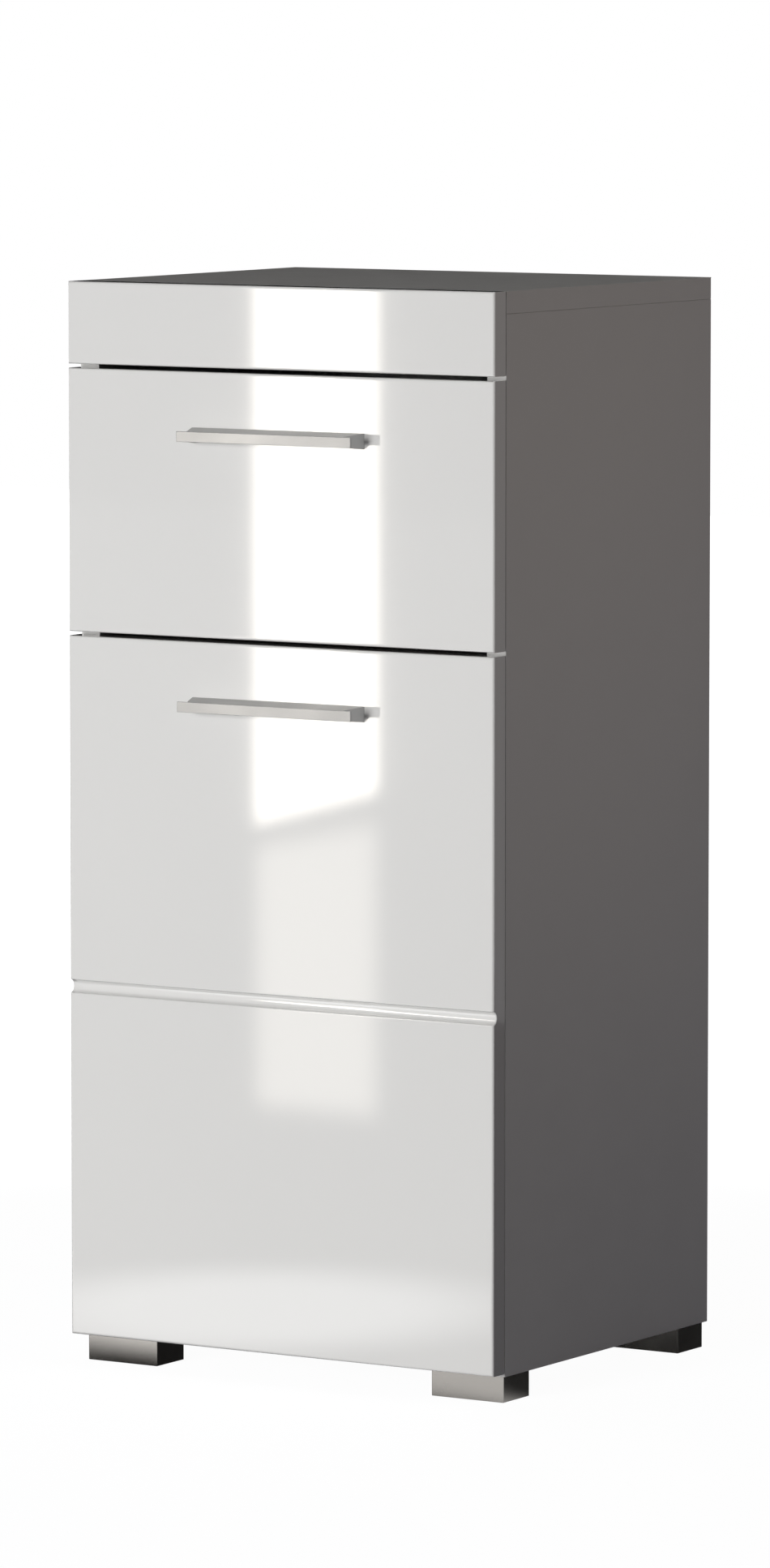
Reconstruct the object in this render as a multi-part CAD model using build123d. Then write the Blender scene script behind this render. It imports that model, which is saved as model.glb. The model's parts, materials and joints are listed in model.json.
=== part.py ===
from build123d import *
from math import atan2, cos, hypot, pi, radians, sin, sqrt
import os

# Bathroom floor cabinet: fixed fascia, one drawer, one tall hinged door, four block feet.
# Millimetres, +Z up, fronts face -Y. The origin is the middle of the footprint, on the floor.

# Cabinet
cabinet_width = 360.0
cabinet_height = 790.0
carcass_depth = 290.0
board = 16.0
edge_ease = 0.5

# Fronts
front_thickness = 16.0
front_gap = 0.8
front_round = 2.0
fascia_height = 59.5
drawer_front_height = 191.0
gap_between_fronts = 3.0
front_lift = 2.5
groove_width = 9.7
groove_depth = 4.5
groove_lip = 1.0

# Carcass
divider_drop = 7.5
fascia_rail_height = 38.0
back_thickness = 3.0
rebate_width = 8.0
rebate_clearance = 0.4
nail_radius = 0.8
nail_length = 20.0
nail_head_radius = 1.8
nail_head_height = 0.8
nail_clearance = 0.1
nails_up_each_side = 5

# Knock-down fittings
cam_radius = 7.4
cam_height = 12.0
cam_distance = 24.0
cam_bore_clearance = 0.1
bolt_radius = 3.0
bolt_neck_radius = 2.2
bolt_head_radius = 3.4
bolt_root_radius = 2.5
bolt_root_length = 11.0
bolt_hole_clearance = 0.1
dowel_radius = 4.0
dowel_length = 30.0
dowel_in_face = 10.0
dowel_clearance = 0.1
dowel_ease = 1.0
fitting_inset = 45.0
dowel_offset = 32.0

# Feet
foot_width = 60.0
foot_depth = 36.0
foot_height = 19.0
foot_wall = 2.5
foot_sole = 3.0
foot_edge_round = 0.8
foot_side_inset = 2.6
foot_front_setback = 2.0
foot_rear_setback = 3.0
foot_boss_radius = 5.0
foot_screw_first = 25.0
foot_screw_second = 48.0
foot_screw_length = 30.0

# Screws
screw_radius = 2.0
screw_head_radius = 3.8
screw_head_height = 2.2
small_screw_radius = 1.7
small_screw_head_radius = 3.0
small_screw_head_height = 1.0
screw_clearance = 0.1
tip_share = 0.3
head_ease_share = 0.4
fascia_screw_length = 27.0
fascia_screw_inset = 60.0

# Shelf
shelf_side_clearance = 1.0
shelf_setback = 20.0
shelf_rear_clearance = 2.0
shelf_pin_radius = 2.5
shelf_pin_in_side = 8.0
shelf_pin_reach = 8.0
shelf_pin_rest_radius = 3.5
shelf_pin_flange_radius = 5.0
shelf_pin_flange = 1.2
shelf_pin_flat = 2.0
shelf_hole_depth = 9.0
shelf_hole_pitch = 32.0
shelf_holes_up = 5
shelf_hole_front = 50.0
shelf_hole_rear = 45.0
shelf_hole_clearance = 0.05

# Handles
handle_length = 147.0
handle_plate_height = 7.5
handle_plate = 2.0
handle_reach = 20.0
handle_below_top = 45.5
handle_root_length = 146.0
handle_tip_length = 132.0
handle_root_height = 11.2
handle_wall = 2.0
handle_end_wall = 3.5
handle_edge_round = 0.4
handle_boss_radius = 3.5
handle_screw_spacing = 96.0
handle_screw_radius = 2.0
handle_screw_head_radius = 4.0
handle_screw_head_height = 2.4
handle_screw_bite = 11.0

# Drawer box
drawer_board = 12.0
drawer_side_height = 140.0
drawer_edge_round = 1.5
drawer_back_drop = 14.0
drawer_bottom_thickness = 3.0
drawer_bottom_lift = 10.0
drawer_bottom_in_groove = 6.0
drawer_groove_clearance = 0.1
drawer_cam_low = 30.0
drawer_cam_high = 105.0
drawer_back_screw_length = 40.0
drawer_back_screw_inset = 28.0

# Roller runners, one pair on each side
runner_space = 12.5
runner_length = 250.0
runner_lift = 19.0
runner_front_setback = 2.0
runner_steel = 1.2
runner_floor_reach = 9.4
runner_roof_reach = 7.0
runner_inner_height = 19.2
track_reach = 8.7
foot_flange = 9.5
side_above_floor = -1.0
roller_radius = 8.0
roller_width = 7.0
roller_recess = 1.5
roller_hub = 1.2
roller_rim = 1.4
roller_running_gap = 0.3
roller_from_end = 14.0
roller_bore_clearance = 0.05
axle_radius = 2.5
axle_head_radius = 4.0
axle_head = 0.7
rollers_stop_gap = 6.0
rail_screw_length = 13.0
rail_screw_height = 16.0
rail_screw_first = 37.0
rail_hole_pitch = 32.0
rail_hole_radius = 2.2
rail_screw_pitches = 4
rail_end_margin = 12.0
flange_hole_radius = 2.2
flange_holes = 4
rail_corner = 2.5
drawer_screw_length = 10.0
drawer_screw_height = 4.5

# Concealed hinges on the left side, seen from above: x from the inner face of the side
# panel, y from its front edge. The door turns about a line inside its own edge.
hinge_from_door_end = 80.0
door_opening = 95.0
axis_from_door_edge = 4.2
axis_from_door_back = 11.5
cup_radius = 17.5
cup_depth = 11.5
cup_wall = 1.0
cup_from_door_edge = 3.0
cup_fit = 0.05
wing_thickness = 0.8
wing_half_height = 28.0
wing_start = 2.0
wing_beyond_centre = 21.0
wing_round = 8.0
wing_screw_spread = 22.5
wing_screw_offset = 9.5
cup_screw_length = 12.0
cup_pin = (-8.5, -4.5)
arm_pin = (15.0, 0.0)
hinge_pin_radius = 1.1
hinge_pin_clearance = 0.05
hinge_rivet_radius = 1.8
hinge_rivet_head = 0.5
link_wall = 1.1
link_half_thickness = 4.2
link_elbow = 5.0
link_elbow_turn = 43.0
link_slot_clearance = 0.2
arm_sheet = 1.2
arm_half_width = 8.5
arm_rear = 52.0
arm_back = 15.0
arm_foot = 6.0
arm_shoulder = 12.0
arm_nose_radius = 3.0
arm_neck = 4.5
plate_thickness = 2.0
plate_front = 22.0
plate_rear = 50.0
plate_half_width = 6.8
plate_web_gap = 0.3
plate_wing_line = 37.0
plate_wing_half_depth = 5.5
plate_wing_round = 4.4
plate_screw_spread = 16.0
plate_screw_length = 13.0
arm_screw_radius = 3.0
arm_screw_head_radius = 4.0
arm_screw_head_height = 1.8
arm_screw_length = 12.0
arm_screw_line = 44.0
arm_slot_length = 4.0
arm_adjuster_line = 30.0
arm_adjuster_radius = 2.6

# Buffers
buffer_radius = 4.0
buffer_thickness = 0.5
buffer_inset = 20.0

# Places worked out from the sizes above
overall_depth = handle_reach + front_thickness + front_gap + carcass_depth
face_y = -overall_depth / 2 + handle_reach
front_back_y = face_y + front_thickness
carcass_y = front_back_y + front_gap
rear_y = carcass_y + carcass_depth
side_outer_x = cabinet_width / 2
side_inner_x = side_outer_x - board
side_top_z = cabinet_height - board
bottom_top_z = foot_height + board
fascia_bottom_z = cabinet_height - fascia_height
drawer_top_z = fascia_bottom_z - gap_between_fronts
drawer_low_z = drawer_top_z - drawer_front_height
door_top_z = drawer_low_z - gap_between_fronts
door_low_z = foot_height + front_lift
door_middle_z = (door_top_z + door_low_z) / 2
divider_top_z = door_top_z - divider_drop
divider_low_z = divider_top_z - board
rail_low_z = side_top_z - fascia_rail_height
rebate_depth = back_thickness + nail_head_height
back_y = rear_y - rebate_depth
nail_x = side_inner_x + rebate_width / 2
runner_floor_z = divider_top_z + runner_lift
roller_z = runner_floor_z + roller_running_gap + roller_radius
track_low_z = roller_z + roller_radius + roller_running_gap
runner_front_y = carcass_y + runner_front_setback
cabinet_roller_y = runner_front_y + roller_from_end
drawer_roller_y = front_back_y + runner_length - roller_from_end
drawer_travel = drawer_roller_y - cabinet_roller_y - 2 * roller_radius - rollers_stop_gap
drawer_low_side_z = runner_floor_z + side_above_floor
drawer_outer_x = side_inner_x - runner_space
drawer_inner_x = drawer_outer_x - drawer_board
drawer_back_y = front_back_y + runner_length
drawer_bottom_z = drawer_low_side_z + drawer_bottom_lift
compartment_middle_z = (bottom_top_z + divider_low_z) / 2
shelf_low_z = compartment_middle_z + shelf_pin_flat
shelf_pin_y = (carcass_y + shelf_hole_front, back_y - shelf_hole_rear)
hinge_z = {"upper": door_top_z - hinge_from_door_end, "lower": door_low_z + hinge_from_door_end}
turning_axis = (-board + axis_from_door_edge, -front_gap - axis_from_door_back)
cup_centre_x = -board + cup_from_door_edge + cup_radius

MIDDLE = (Align.CENTER, Align.CENTER, Align.CENTER)
STANDING = (Align.CENTER, Align.CENTER, Align.MIN)


# Helpers
def block(x0, x1, y0, y1, z0, z1):
    """A box given by its two corners."""
    return Pos((x0 + x1) / 2, (y0 + y1) / 2, (z0 + z1) / 2) * Box(x1 - x0, y1 - y0, z1 - z0, align=MIDDLE)


def rod(radius, start, end):
    """A round bar from one point to another."""
    run = Vector(*end) - Vector(*start)
    return Plane(origin=start, z_dir=run).location * Cylinder(radius, run.length, align=STANDING)


def turned(profile, start, end):
    """Revolve (distance along, radius) pairs about the line from start towards end."""
    points = [(0, profile[0][0])] + [(radius, along) for along, radius in profile] + [(0, profile[-1][0])]
    outline = Plane.XZ * make_face(Polyline(*points, close=True))
    run = Vector(*end) - Vector(*start)
    return Plane(origin=start, z_dir=run).location * revolve(outline, Axis.Z)


def flat_shape(points, low_z, high_z):
    """A closed outline in plan, raised between two heights."""
    face = make_face(Polyline(*points, close=True))
    return Pos(0, 0, low_z) * extrude(face, high_z - low_z)


def mirrored(shape):
    """The same piece on the other side of the cabinet."""
    return mirror(shape, about=Plane.YZ)


def cut(shape, tools):
    """Take every tool away from a shape."""
    for tool in tools:
        shape = shape - tool
    return shape


def cleaned(shape):
    """The one solid that a boolean leaves behind."""
    return shape.solids()[0] if len(shape.solids()) == 1 else Compound(children=list(shape.solids()))


def countersunk(start, end, radius, head_radius, head_height):
    """A countersunk screw whose head lies flush at start."""
    length = (Vector(*end) - Vector(*start)).length
    profile = [(0, head_radius), (head_height, radius), (length - radius, radius),
               (length, radius * tip_share)]
    return turned(profile, start, end)


def pan_head(start, end, radius, head_radius, head_height):
    """A screw whose head stands on the surface at start, pointing at end."""
    length = (Vector(*end) - Vector(*start)).length
    ease = head_height * head_ease_share
    profile = [
        (-head_height, head_radius - ease), (ease - head_height, head_radius), (0, head_radius),
        (0, radius), (length - radius, radius), (length, radius * tip_share),
    ]
    return turned(profile, start, end)


def cam_joint(junction, inward, cam_face, thickness):
    """Cam, bolt and their bores, where one board's end meets another board's face.

    junction lies on the plane of contact in the middle of the end, inward points into the
    board that holds the cam, and cam_face towards the face that the cam is let into.
    """
    place = Plane(origin=junction, x_dir=inward, z_dir=cam_face).location
    face = thickness / 2
    bore = cam_radius + cam_bore_clearance
    neck = cam_distance - cam_radius
    cam = Pos(cam_distance, 0, face - cam_height) * Cylinder(cam_radius, cam_height, align=STANDING)
    claw = block(cam_distance - cam_radius - 1, cam_distance + bolt_head_radius + bolt_hole_clearance,
                 -bolt_head_radius - bolt_hole_clearance, bolt_head_radius + bolt_hole_clearance,
                 -bolt_head_radius - bolt_hole_clearance, bolt_head_radius + bolt_hole_clearance)
    cam = cam - claw
    profile = [
        (-bolt_root_length, bolt_root_radius * tip_share),
        (-bolt_root_length + bolt_root_radius, bolt_root_radius),
        (0, bolt_root_radius), (0, bolt_radius), (neck, bolt_radius), (neck, bolt_neck_radius),
        (cam_distance - bolt_head_radius, bolt_neck_radius),
        (cam_distance - bolt_head_radius, bolt_head_radius),
        (cam_distance, bolt_head_radius), (cam_distance + bolt_head_radius / 2, bolt_head_radius / 2),
    ]
    bolt = turned(profile, (0, 0, 0), (1, 0, 0))
    cam_bore = Pos(cam_distance, 0, face - cam_height - cam_bore_clearance) * Cylinder(
        bore, cam_height + cam_bore_clearance, align=STANDING)
    end_bore = rod(bolt_radius + bolt_hole_clearance, (0, 0, 0), (cam_distance, 0, 0))
    root_bore = rod(bolt_root_radius + bolt_hole_clearance, (0, 0, 0),
                    (-bolt_root_length - bolt_hole_clearance, 0, 0))
    return {
        "cam": place * cam, "bolt": place * bolt,
        "held_cut": [place * cam_bore, place * end_bore], "face_cut": [place * root_bore],
    }


def dowel_joint(junction, inward):
    """Dowel and its two bores, across the same kind of contact."""
    start = Vector(*junction) - Vector(*inward) * dowel_in_face
    end = Vector(*junction) + Vector(*inward) * (dowel_length - dowel_in_face)
    ease = dowel_ease
    profile = [(0, dowel_radius - ease), (ease, dowel_radius), (dowel_length - ease, dowel_radius),
               (dowel_length, dowel_radius - ease)]
    reach = Vector(*inward) * dowel_clearance
    hole = dowel_radius + dowel_clearance
    return {
        "dowel": turned(profile, tuple(start), tuple(end)),
        "held_cut": [rod(hole, junction, tuple(end + reach))],
        "face_cut": [rod(hole, junction, tuple(start - reach))],
    }


# Where the boards meet
cams = []
bolts = []
dowels = []
cuts = {"side": [], "top": [], "bottom": [], "divider": [], "rail": []}


def join_to_side(name, middle_z, cam_face, line_y, dowel_y):
    """One cam and one dowel at the left end of a board that stands between the sides."""
    joint = cam_joint((-side_inner_x, line_y, middle_z), (1, 0, 0), cam_face, board)
    peg = dowel_joint((-side_inner_x, dowel_y, middle_z), (1, 0, 0))
    cams.append(joint["cam"])
    bolts.append(joint["bolt"])
    dowels.append(peg["dowel"])
    cuts[name] += joint["held_cut"] + peg["held_cut"]
    cuts["side"] += joint["face_cut"] + peg["face_cut"]


panel_lines = ((carcass_y + fitting_inset, carcass_y + fitting_inset + dowel_offset),
               (back_y - fitting_inset, back_y - fitting_inset - dowel_offset))
for line_y, dowel_y in panel_lines:
    join_to_side("bottom", foot_height + board / 2, (0, 0, -1), line_y, dowel_y)
    join_to_side("divider", divider_top_z - board / 2, (0, 0, -1), line_y, dowel_y)
    top_joint = cam_joint((-side_inner_x - board / 2, line_y, side_top_z), (0, 0, -1), (1, 0, 0), board)
    top_peg = dowel_joint((-side_inner_x - board / 2, dowel_y, side_top_z), (0, 0, -1))
    cams.append(top_joint["cam"])
    bolts.append(top_joint["bolt"])
    dowels.append(top_peg["dowel"])
    cuts["side"] += top_joint["held_cut"] + top_peg["held_cut"]
    cuts["top"] += top_joint["face_cut"] + top_peg["face_cut"]

rail_front_y = front_back_y
rail_rear_y = rail_front_y + board
rail_middle_z = (rail_low_z + side_top_z) / 2
rail_middle_y = rail_rear_y - board / 2
rail_joint = cam_joint((-side_inner_x, rail_middle_y, rail_middle_z), (1, 0, 0), (0, 1, 0), board)
cams.append(rail_joint["cam"])
bolts.append(rail_joint["bolt"])
cuts["rail"] += rail_joint["held_cut"]
cuts["side"] += rail_joint["face_cut"]


# Carcass boards
def side_panel():
    """Left side, with its rebate for the back and the rows of shelf holes."""
    panel = block(-side_outer_x, -side_inner_x, carcass_y, rear_y, foot_height, side_top_z)
    outer = panel.edges().filter_by(Axis.Z).sort_by(Axis.X)[:2].sort_by(Axis.Y)[-1]
    panel = fillet(outer, edge_ease)
    rebate_x = side_inner_x + rebate_width
    tools = [block(-rebate_x, -side_inner_x, back_y, rear_y, foot_height, side_top_z)]
    radius = shelf_pin_radius + shelf_hole_clearance
    for row_y in shelf_pin_y:
        for step in range(shelf_holes_up):
            hole_z = compartment_middle_z + (step - (shelf_holes_up - 1) / 2) * shelf_hole_pitch
            tools.append(rod(radius, (-side_inner_x, row_y, hole_z),
                             (-side_inner_x - shelf_hole_depth, row_y, hole_z)))
    return cut(panel, tools + cuts["side"] + nail_bores + rail_screw_bores)


def between_panel(name, low_z, front_y):
    """A board that stands between the sides."""
    panel = block(-side_inner_x, side_inner_x, front_y, back_y, low_z, low_z + board)
    return cut(panel, cuts[name] + [mirrored(tool) for tool in cuts[name]])


def top_panel():
    """The top lies over both sides, with eased edges."""
    panel = block(-side_outer_x, side_outer_x, carcass_y, rear_y, side_top_z, cabinet_height)
    panel = fillet(panel.faces().sort_by(Axis.Z)[-1].edges().sort_by(Axis.Y)[1:], edge_ease)
    return cut(panel, cuts["top"] + [mirrored(tool) for tool in cuts["top"]])


def front_panel(low_z, high_z):
    """A lacquered front, rounded all the way round its face."""
    panel = block(-side_outer_x, side_outer_x, face_y, front_back_y, low_z, high_z)
    return fillet(panel.faces().sort_by(Axis.Y)[0].edges(), front_round)


nail_heights = [
    foot_height + board / 2 + step * (side_top_z - foot_height - board) / (nails_up_each_side - 1)
    for step in range(nails_up_each_side)
]
nail_points = [(x, z) for x in (-nail_x, nail_x) for z in nail_heights]
back_nails = [
    turned([(0, nail_head_radius), (nail_head_height, nail_head_radius), (nail_head_height, nail_radius),
            (nail_length - nail_radius, nail_radius), (nail_length, nail_radius * tip_share)],
           (x, rear_y, z), (x, rear_y - nail_length, z))
    for x, z in nail_points
]
nail_bores = [rod(nail_radius + nail_clearance, (x, rear_y, z), (x, rear_y - nail_length - nail_clearance, z))
              for x, z in nail_points if x < 0]


def back_panel():
    """Hardboard let into the rebates, from the bottom panel up to the top."""
    half = side_inner_x + rebate_width - rebate_clearance
    panel = block(-half, half, back_y, back_y + back_thickness, foot_height + rebate_clearance,
                  side_top_z - rebate_clearance)
    return cut(panel, nail_bores + [mirrored(tool) for tool in nail_bores])


# Fascia
rail_screw_x = side_inner_x - fascia_screw_inset
fascia_screws = [
    countersunk((x, rail_rear_y, rail_middle_z), (x, rail_rear_y - fascia_screw_length, rail_middle_z),
                screw_radius, screw_head_radius, screw_head_height)
    for x in (-rail_screw_x, rail_screw_x)
]
fascia_bores = [
    countersunk((x, rail_rear_y, rail_middle_z),
                (x, rail_rear_y - fascia_screw_length - screw_clearance, rail_middle_z),
                screw_radius + screw_clearance, screw_head_radius + screw_clearance,
                screw_head_height + screw_clearance)
    for x in (-rail_screw_x, rail_screw_x)
]


def fascia_rail():
    """The rail that carries the fascia, as far forward as the backs of the fronts."""
    rail = block(-side_inner_x, side_inner_x, rail_front_y, rail_rear_y, rail_low_z, side_top_z)
    return cut(rail, cuts["rail"] + [mirrored(tool) for tool in cuts["rail"]] + fascia_bores)


# Feet
foot_middle_x = -side_outer_x + foot_side_inset + foot_width / 2
foot_middle_y = {"front": carcass_y + foot_front_setback + foot_depth / 2,
                 "rear": rear_y - foot_rear_setback - foot_depth / 2}


def foot_screw_places(middle_y):
    """The two screws of one left foot."""
    left = -side_outer_x + foot_side_inset
    return [(left + foot_screw_first, middle_y), (left + foot_screw_second, middle_y)]


def foot(middle_y):
    """A moulded block foot: closed sole, open top, two screw bosses and a rib."""
    half_x, half_y = foot_width / 2, foot_depth / 2
    body = block(-half_x, half_x, -half_y, half_y, 0, foot_height)
    body = fillet(body.edges().filter_by(Axis.Z), foot_edge_round)
    body = fillet(body.faces().sort_by(Axis.Z)[0].edges(), foot_edge_round / 2)
    hollow = block(-half_x + foot_wall, half_x - foot_wall, -half_y + foot_wall, half_y - foot_wall,
                   foot_sole, foot_height)
    shell = Pos(foot_middle_x, middle_y, 0) * (body - hollow)
    rib = block(foot_middle_x - half_x + foot_wall / 2, foot_middle_x + half_x - foot_wall / 2,
                middle_y - foot_wall / 2, middle_y + foot_wall / 2, foot_sole / 2, foot_height)
    shell = shell + rib
    for x, y in foot_screw_places(middle_y):
        shell = shell + rod(foot_boss_radius, (x, y, foot_sole / 2), (x, y, foot_height))
        shell = shell - countersunk((x, y, 0), (x, y, foot_height + foot_sole),
                                    screw_radius + screw_clearance,
                                    screw_head_radius + screw_head_height + screw_clearance,
                                    2 * screw_head_height + screw_clearance)
    return shell


foot_screws = []
foot_screw_bores = []
for middle_y in foot_middle_y.values():
    for x, y in foot_screw_places(middle_y):
        end = (x, y, screw_head_height + foot_screw_length)
        foot_screws.append(countersunk((x, y, screw_head_height), end, screw_radius,
                                       screw_head_radius, screw_head_height))
        foot_screw_bores.append(rod(screw_radius + screw_clearance, (x, y, foot_height - 1), end))
cuts["bottom"] += foot_screw_bores


# Shelf and its pins
def shelf_pin(row_y):
    """A pin in the left side, with a flat on top for the shelf."""
    pin_z = compartment_middle_z
    inner = -side_inner_x
    pin = rod(shelf_pin_radius, (inner - shelf_pin_in_side, row_y, pin_z), (inner, row_y, pin_z))
    flange = rod(shelf_pin_flange_radius, (inner, row_y, pin_z), (inner + shelf_pin_flange, row_y, pin_z))
    rest = rod(shelf_pin_rest_radius, (inner, row_y, pin_z), (inner + shelf_pin_reach, row_y, pin_z))
    above = block(inner, inner + 2 * shelf_pin_reach, row_y - 2 * shelf_pin_flange_radius,
                  row_y + 2 * shelf_pin_flange_radius, pin_z + shelf_pin_flat,
                  pin_z + 2 * shelf_pin_flange_radius)
    return pin + ((flange + rest) - above)


def shelf():
    """Loose shelf on four pins."""
    half = side_inner_x - shelf_side_clearance
    return block(-half, half, carcass_y + shelf_setback, back_y - shelf_rear_clearance,
                 shelf_low_z, shelf_low_z + board)


# Handles
def handle(top_z):
    """Cast pull: a thin face plate on a flared body, open underneath for the fingers."""
    middle_z = top_z - handle_below_top
    plate_back = -handle_reach + handle_plate

    def section(length, low, high, depth):
        corners = [(-length / 2, depth, low), (length / 2, depth, low), (length / 2, depth, high),
                   (-length / 2, depth, high)]
        return make_face(Polyline(*corners, close=True))

    root_half, tip_half = handle_root_height / 2, handle_plate_height / 2
    body = loft([section(handle_root_length, -root_half, root_half, 0),
                 section(handle_tip_length, -tip_half, tip_half, plate_back)])
    inner_root = handle_root_length - 2 * handle_end_wall
    inner_tip = handle_tip_length - 2 * handle_end_wall
    pocket = loft([section(inner_root, -handle_root_height, root_half - handle_wall, 0),
                   section(inner_tip, -handle_root_height, tip_half - handle_wall, plate_back)])
    plate = block(-handle_length / 2, handle_length / 2, -handle_reach, plate_back, -tip_half, tip_half)
    plate = fillet(plate.edges(), handle_edge_round)
    pull = (body - pocket) + plate
    for x in (-handle_screw_spacing / 2, handle_screw_spacing / 2):
        pull = pull + rod(handle_boss_radius, (x, 0, 0), (x, plate_back - handle_plate / 2, 0))
        pull = pull - rod(handle_screw_radius + screw_clearance, (x, 0, 0),
                          (x, -handle_screw_bite - screw_clearance, 0))
    return Pos(0, face_y, middle_z) * pull


def handle_screws(top_z):
    """Two machine screws from the inside of the front."""
    middle_z = top_z - handle_below_top
    return [pan_head((x, front_back_y, middle_z), (x, face_y - handle_screw_bite, middle_z),
                     handle_screw_radius, handle_screw_head_radius, handle_screw_head_height)
            for x in (-handle_screw_spacing / 2, handle_screw_spacing / 2)]


def handle_bores(top_z):
    """The holes those screws pass through."""
    middle_z = top_z - handle_below_top
    return [rod(handle_screw_radius + screw_clearance, (x, face_y, middle_z), (x, front_back_y, middle_z))
            for x in (-handle_screw_spacing / 2, handle_screw_spacing / 2)]


# Drawer
drawer_cams = []
drawer_bolts = []
drawer_side_cuts = []
drawer_front_cuts = []
for height in (drawer_cam_low, drawer_cam_high):
    junction = (-drawer_outer_x + drawer_board / 2, front_back_y, drawer_low_side_z + height)
    joint = cam_joint(junction, (0, 1, 0), (1, 0, 0), drawer_board)
    drawer_cams.append(joint["cam"])
    drawer_bolts.append(joint["bolt"])
    drawer_side_cuts += joint["held_cut"]
    drawer_front_cuts += joint["face_cut"]

drawer_back_low_z = drawer_bottom_z + drawer_bottom_thickness
drawer_back_high_z = drawer_low_side_z + drawer_side_height - drawer_back_drop
drawer_back_screws = []
drawer_back_bores = []
for z in (drawer_back_low_z + drawer_back_screw_inset, drawer_back_high_z - drawer_back_screw_inset):
    start = (-drawer_outer_x, drawer_back_y - drawer_board / 2, z)
    tip_x = -drawer_outer_x + drawer_back_screw_length
    drawer_back_screws.append(countersunk(start, (tip_x, *start[1:]), small_screw_radius,
                                          small_screw_head_radius, small_screw_head_height))
    drawer_back_bores.append(countersunk(start, (tip_x + screw_clearance, *start[1:]),
                                         small_screw_radius + screw_clearance,
                                         small_screw_head_radius + screw_clearance,
                                         small_screw_head_height + screw_clearance))

groove_low_z = drawer_bottom_z - drawer_groove_clearance
groove_high_z = drawer_bottom_z + drawer_bottom_thickness + drawer_groove_clearance
groove_half = drawer_inner_x + drawer_bottom_in_groove + drawer_groove_clearance
groove_front_y = front_back_y - drawer_bottom_in_groove - drawer_groove_clearance
bottom_groove = block(-groove_half, groove_half, groove_front_y, drawer_back_y, groove_low_z, groove_high_z)


def drawer_side():
    """Left side of the drawer box."""
    side = block(-drawer_outer_x, -drawer_inner_x, front_back_y, drawer_back_y, drawer_low_side_z,
                 drawer_low_side_z + drawer_side_height)
    side = fillet(side.edges().filter_by(Axis.Y).sort_by(Axis.Z)[-2:], drawer_edge_round)
    return cut(side, [bottom_groove] + drawer_side_cuts + drawer_back_bores + drawer_rail_bores)


def drawer_back():
    """Back of the drawer box, above the bottom."""
    panel = block(-drawer_inner_x, drawer_inner_x, drawer_back_y - drawer_board, drawer_back_y,
                  drawer_back_low_z, drawer_back_high_z)
    panel = fillet(panel.edges().filter_by(Axis.X).sort_by(Axis.Z)[-2:], drawer_edge_round)
    return cut(panel, drawer_back_bores + [mirrored(tool) for tool in drawer_back_bores])


def drawer_bottom():
    """Hardboard bottom in its grooves."""
    half = drawer_inner_x + drawer_bottom_in_groove
    return block(-half, half, front_back_y - drawer_bottom_in_groove, drawer_back_y, drawer_bottom_z,
                 drawer_bottom_z + drawer_bottom_thickness)


def drawer_front():
    """Front of the drawer, which closes its box."""
    tools = [bottom_groove] + handle_bores(drawer_top_z)
    tools += drawer_front_cuts + [mirrored(tool) for tool in drawer_front_cuts]
    return cut(front_panel(drawer_low_z, drawer_top_z), tools)


# Roller runners, left side
wall_x = -side_inner_x
rail_screw_z = runner_floor_z + rail_screw_height
rail_screw_second = rail_screw_first + rail_screw_pitches * rail_hole_pitch
rail_screw_lines = (runner_front_y + rail_screw_first, runner_front_y + rail_screw_second)
cabinet_rail_screws = [
    pan_head((wall_x + runner_steel, y, rail_screw_z),
             (wall_x + runner_steel - rail_screw_length, y, rail_screw_z),
             small_screw_radius, small_screw_head_radius, small_screw_head_height)
    for y in rail_screw_lines
]
rail_screw_bores = [
    rod(small_screw_radius + screw_clearance, (wall_x + runner_steel, y, rail_screw_z),
        (wall_x + runner_steel - rail_screw_length - screw_clearance, y, rail_screw_z))
    for y in rail_screw_lines
]
web_x = -drawer_outer_x - runner_steel
drawer_screw_lines = (front_back_y + rail_screw_first, front_back_y + rail_screw_second)
drawer_screw_z = runner_floor_z + drawer_screw_height
drawer_rail_screws = [
    pan_head((web_x, y, drawer_screw_z), (web_x + drawer_screw_length, y, drawer_screw_z),
             small_screw_radius, small_screw_head_radius, small_screw_head_height)
    for y in drawer_screw_lines
]
drawer_rail_bores = [
    rod(small_screw_radius + screw_clearance, (web_x, y, drawer_screw_z),
        (web_x + drawer_screw_length + screw_clearance, y, drawer_screw_z))
    for y in drawer_screw_lines
]


def profile_rail(points, front_y, length):
    """A folded steel profile, drawn in X and Z, running back from front_y."""
    face = make_face(Polyline(*[(x, front_y, z) for x, z in points], close=True))
    return extrude(face, length, dir=(0, 1, 0))


def spare_holes(front_y, length, x0, x1, z):
    """The rail's other holes, one pitch apart, between and behind the two that are screwed."""
    count = int((length - rail_end_margin - rail_screw_first) // rail_hole_pitch) + 1
    return [rod(rail_hole_radius, (x0, front_y + rail_screw_first + step * rail_hole_pitch, z),
                (x1, front_y + rail_screw_first + step * rail_hole_pitch, z))
            for step in range(count) if step not in (0, rail_screw_pitches)]


def clipped(rail, flange_x, low_z, high_z):
    """Take the corners off a flange's free edge, at both ends of the rail."""
    corners = [edge for edge in rail.edges().filter_by(Axis.Z)
               if abs(edge.center().X - flange_x) < runner_steel / 2 and low_z < edge.center().Z < high_z]
    return chamfer(corners, rail_corner)


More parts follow.
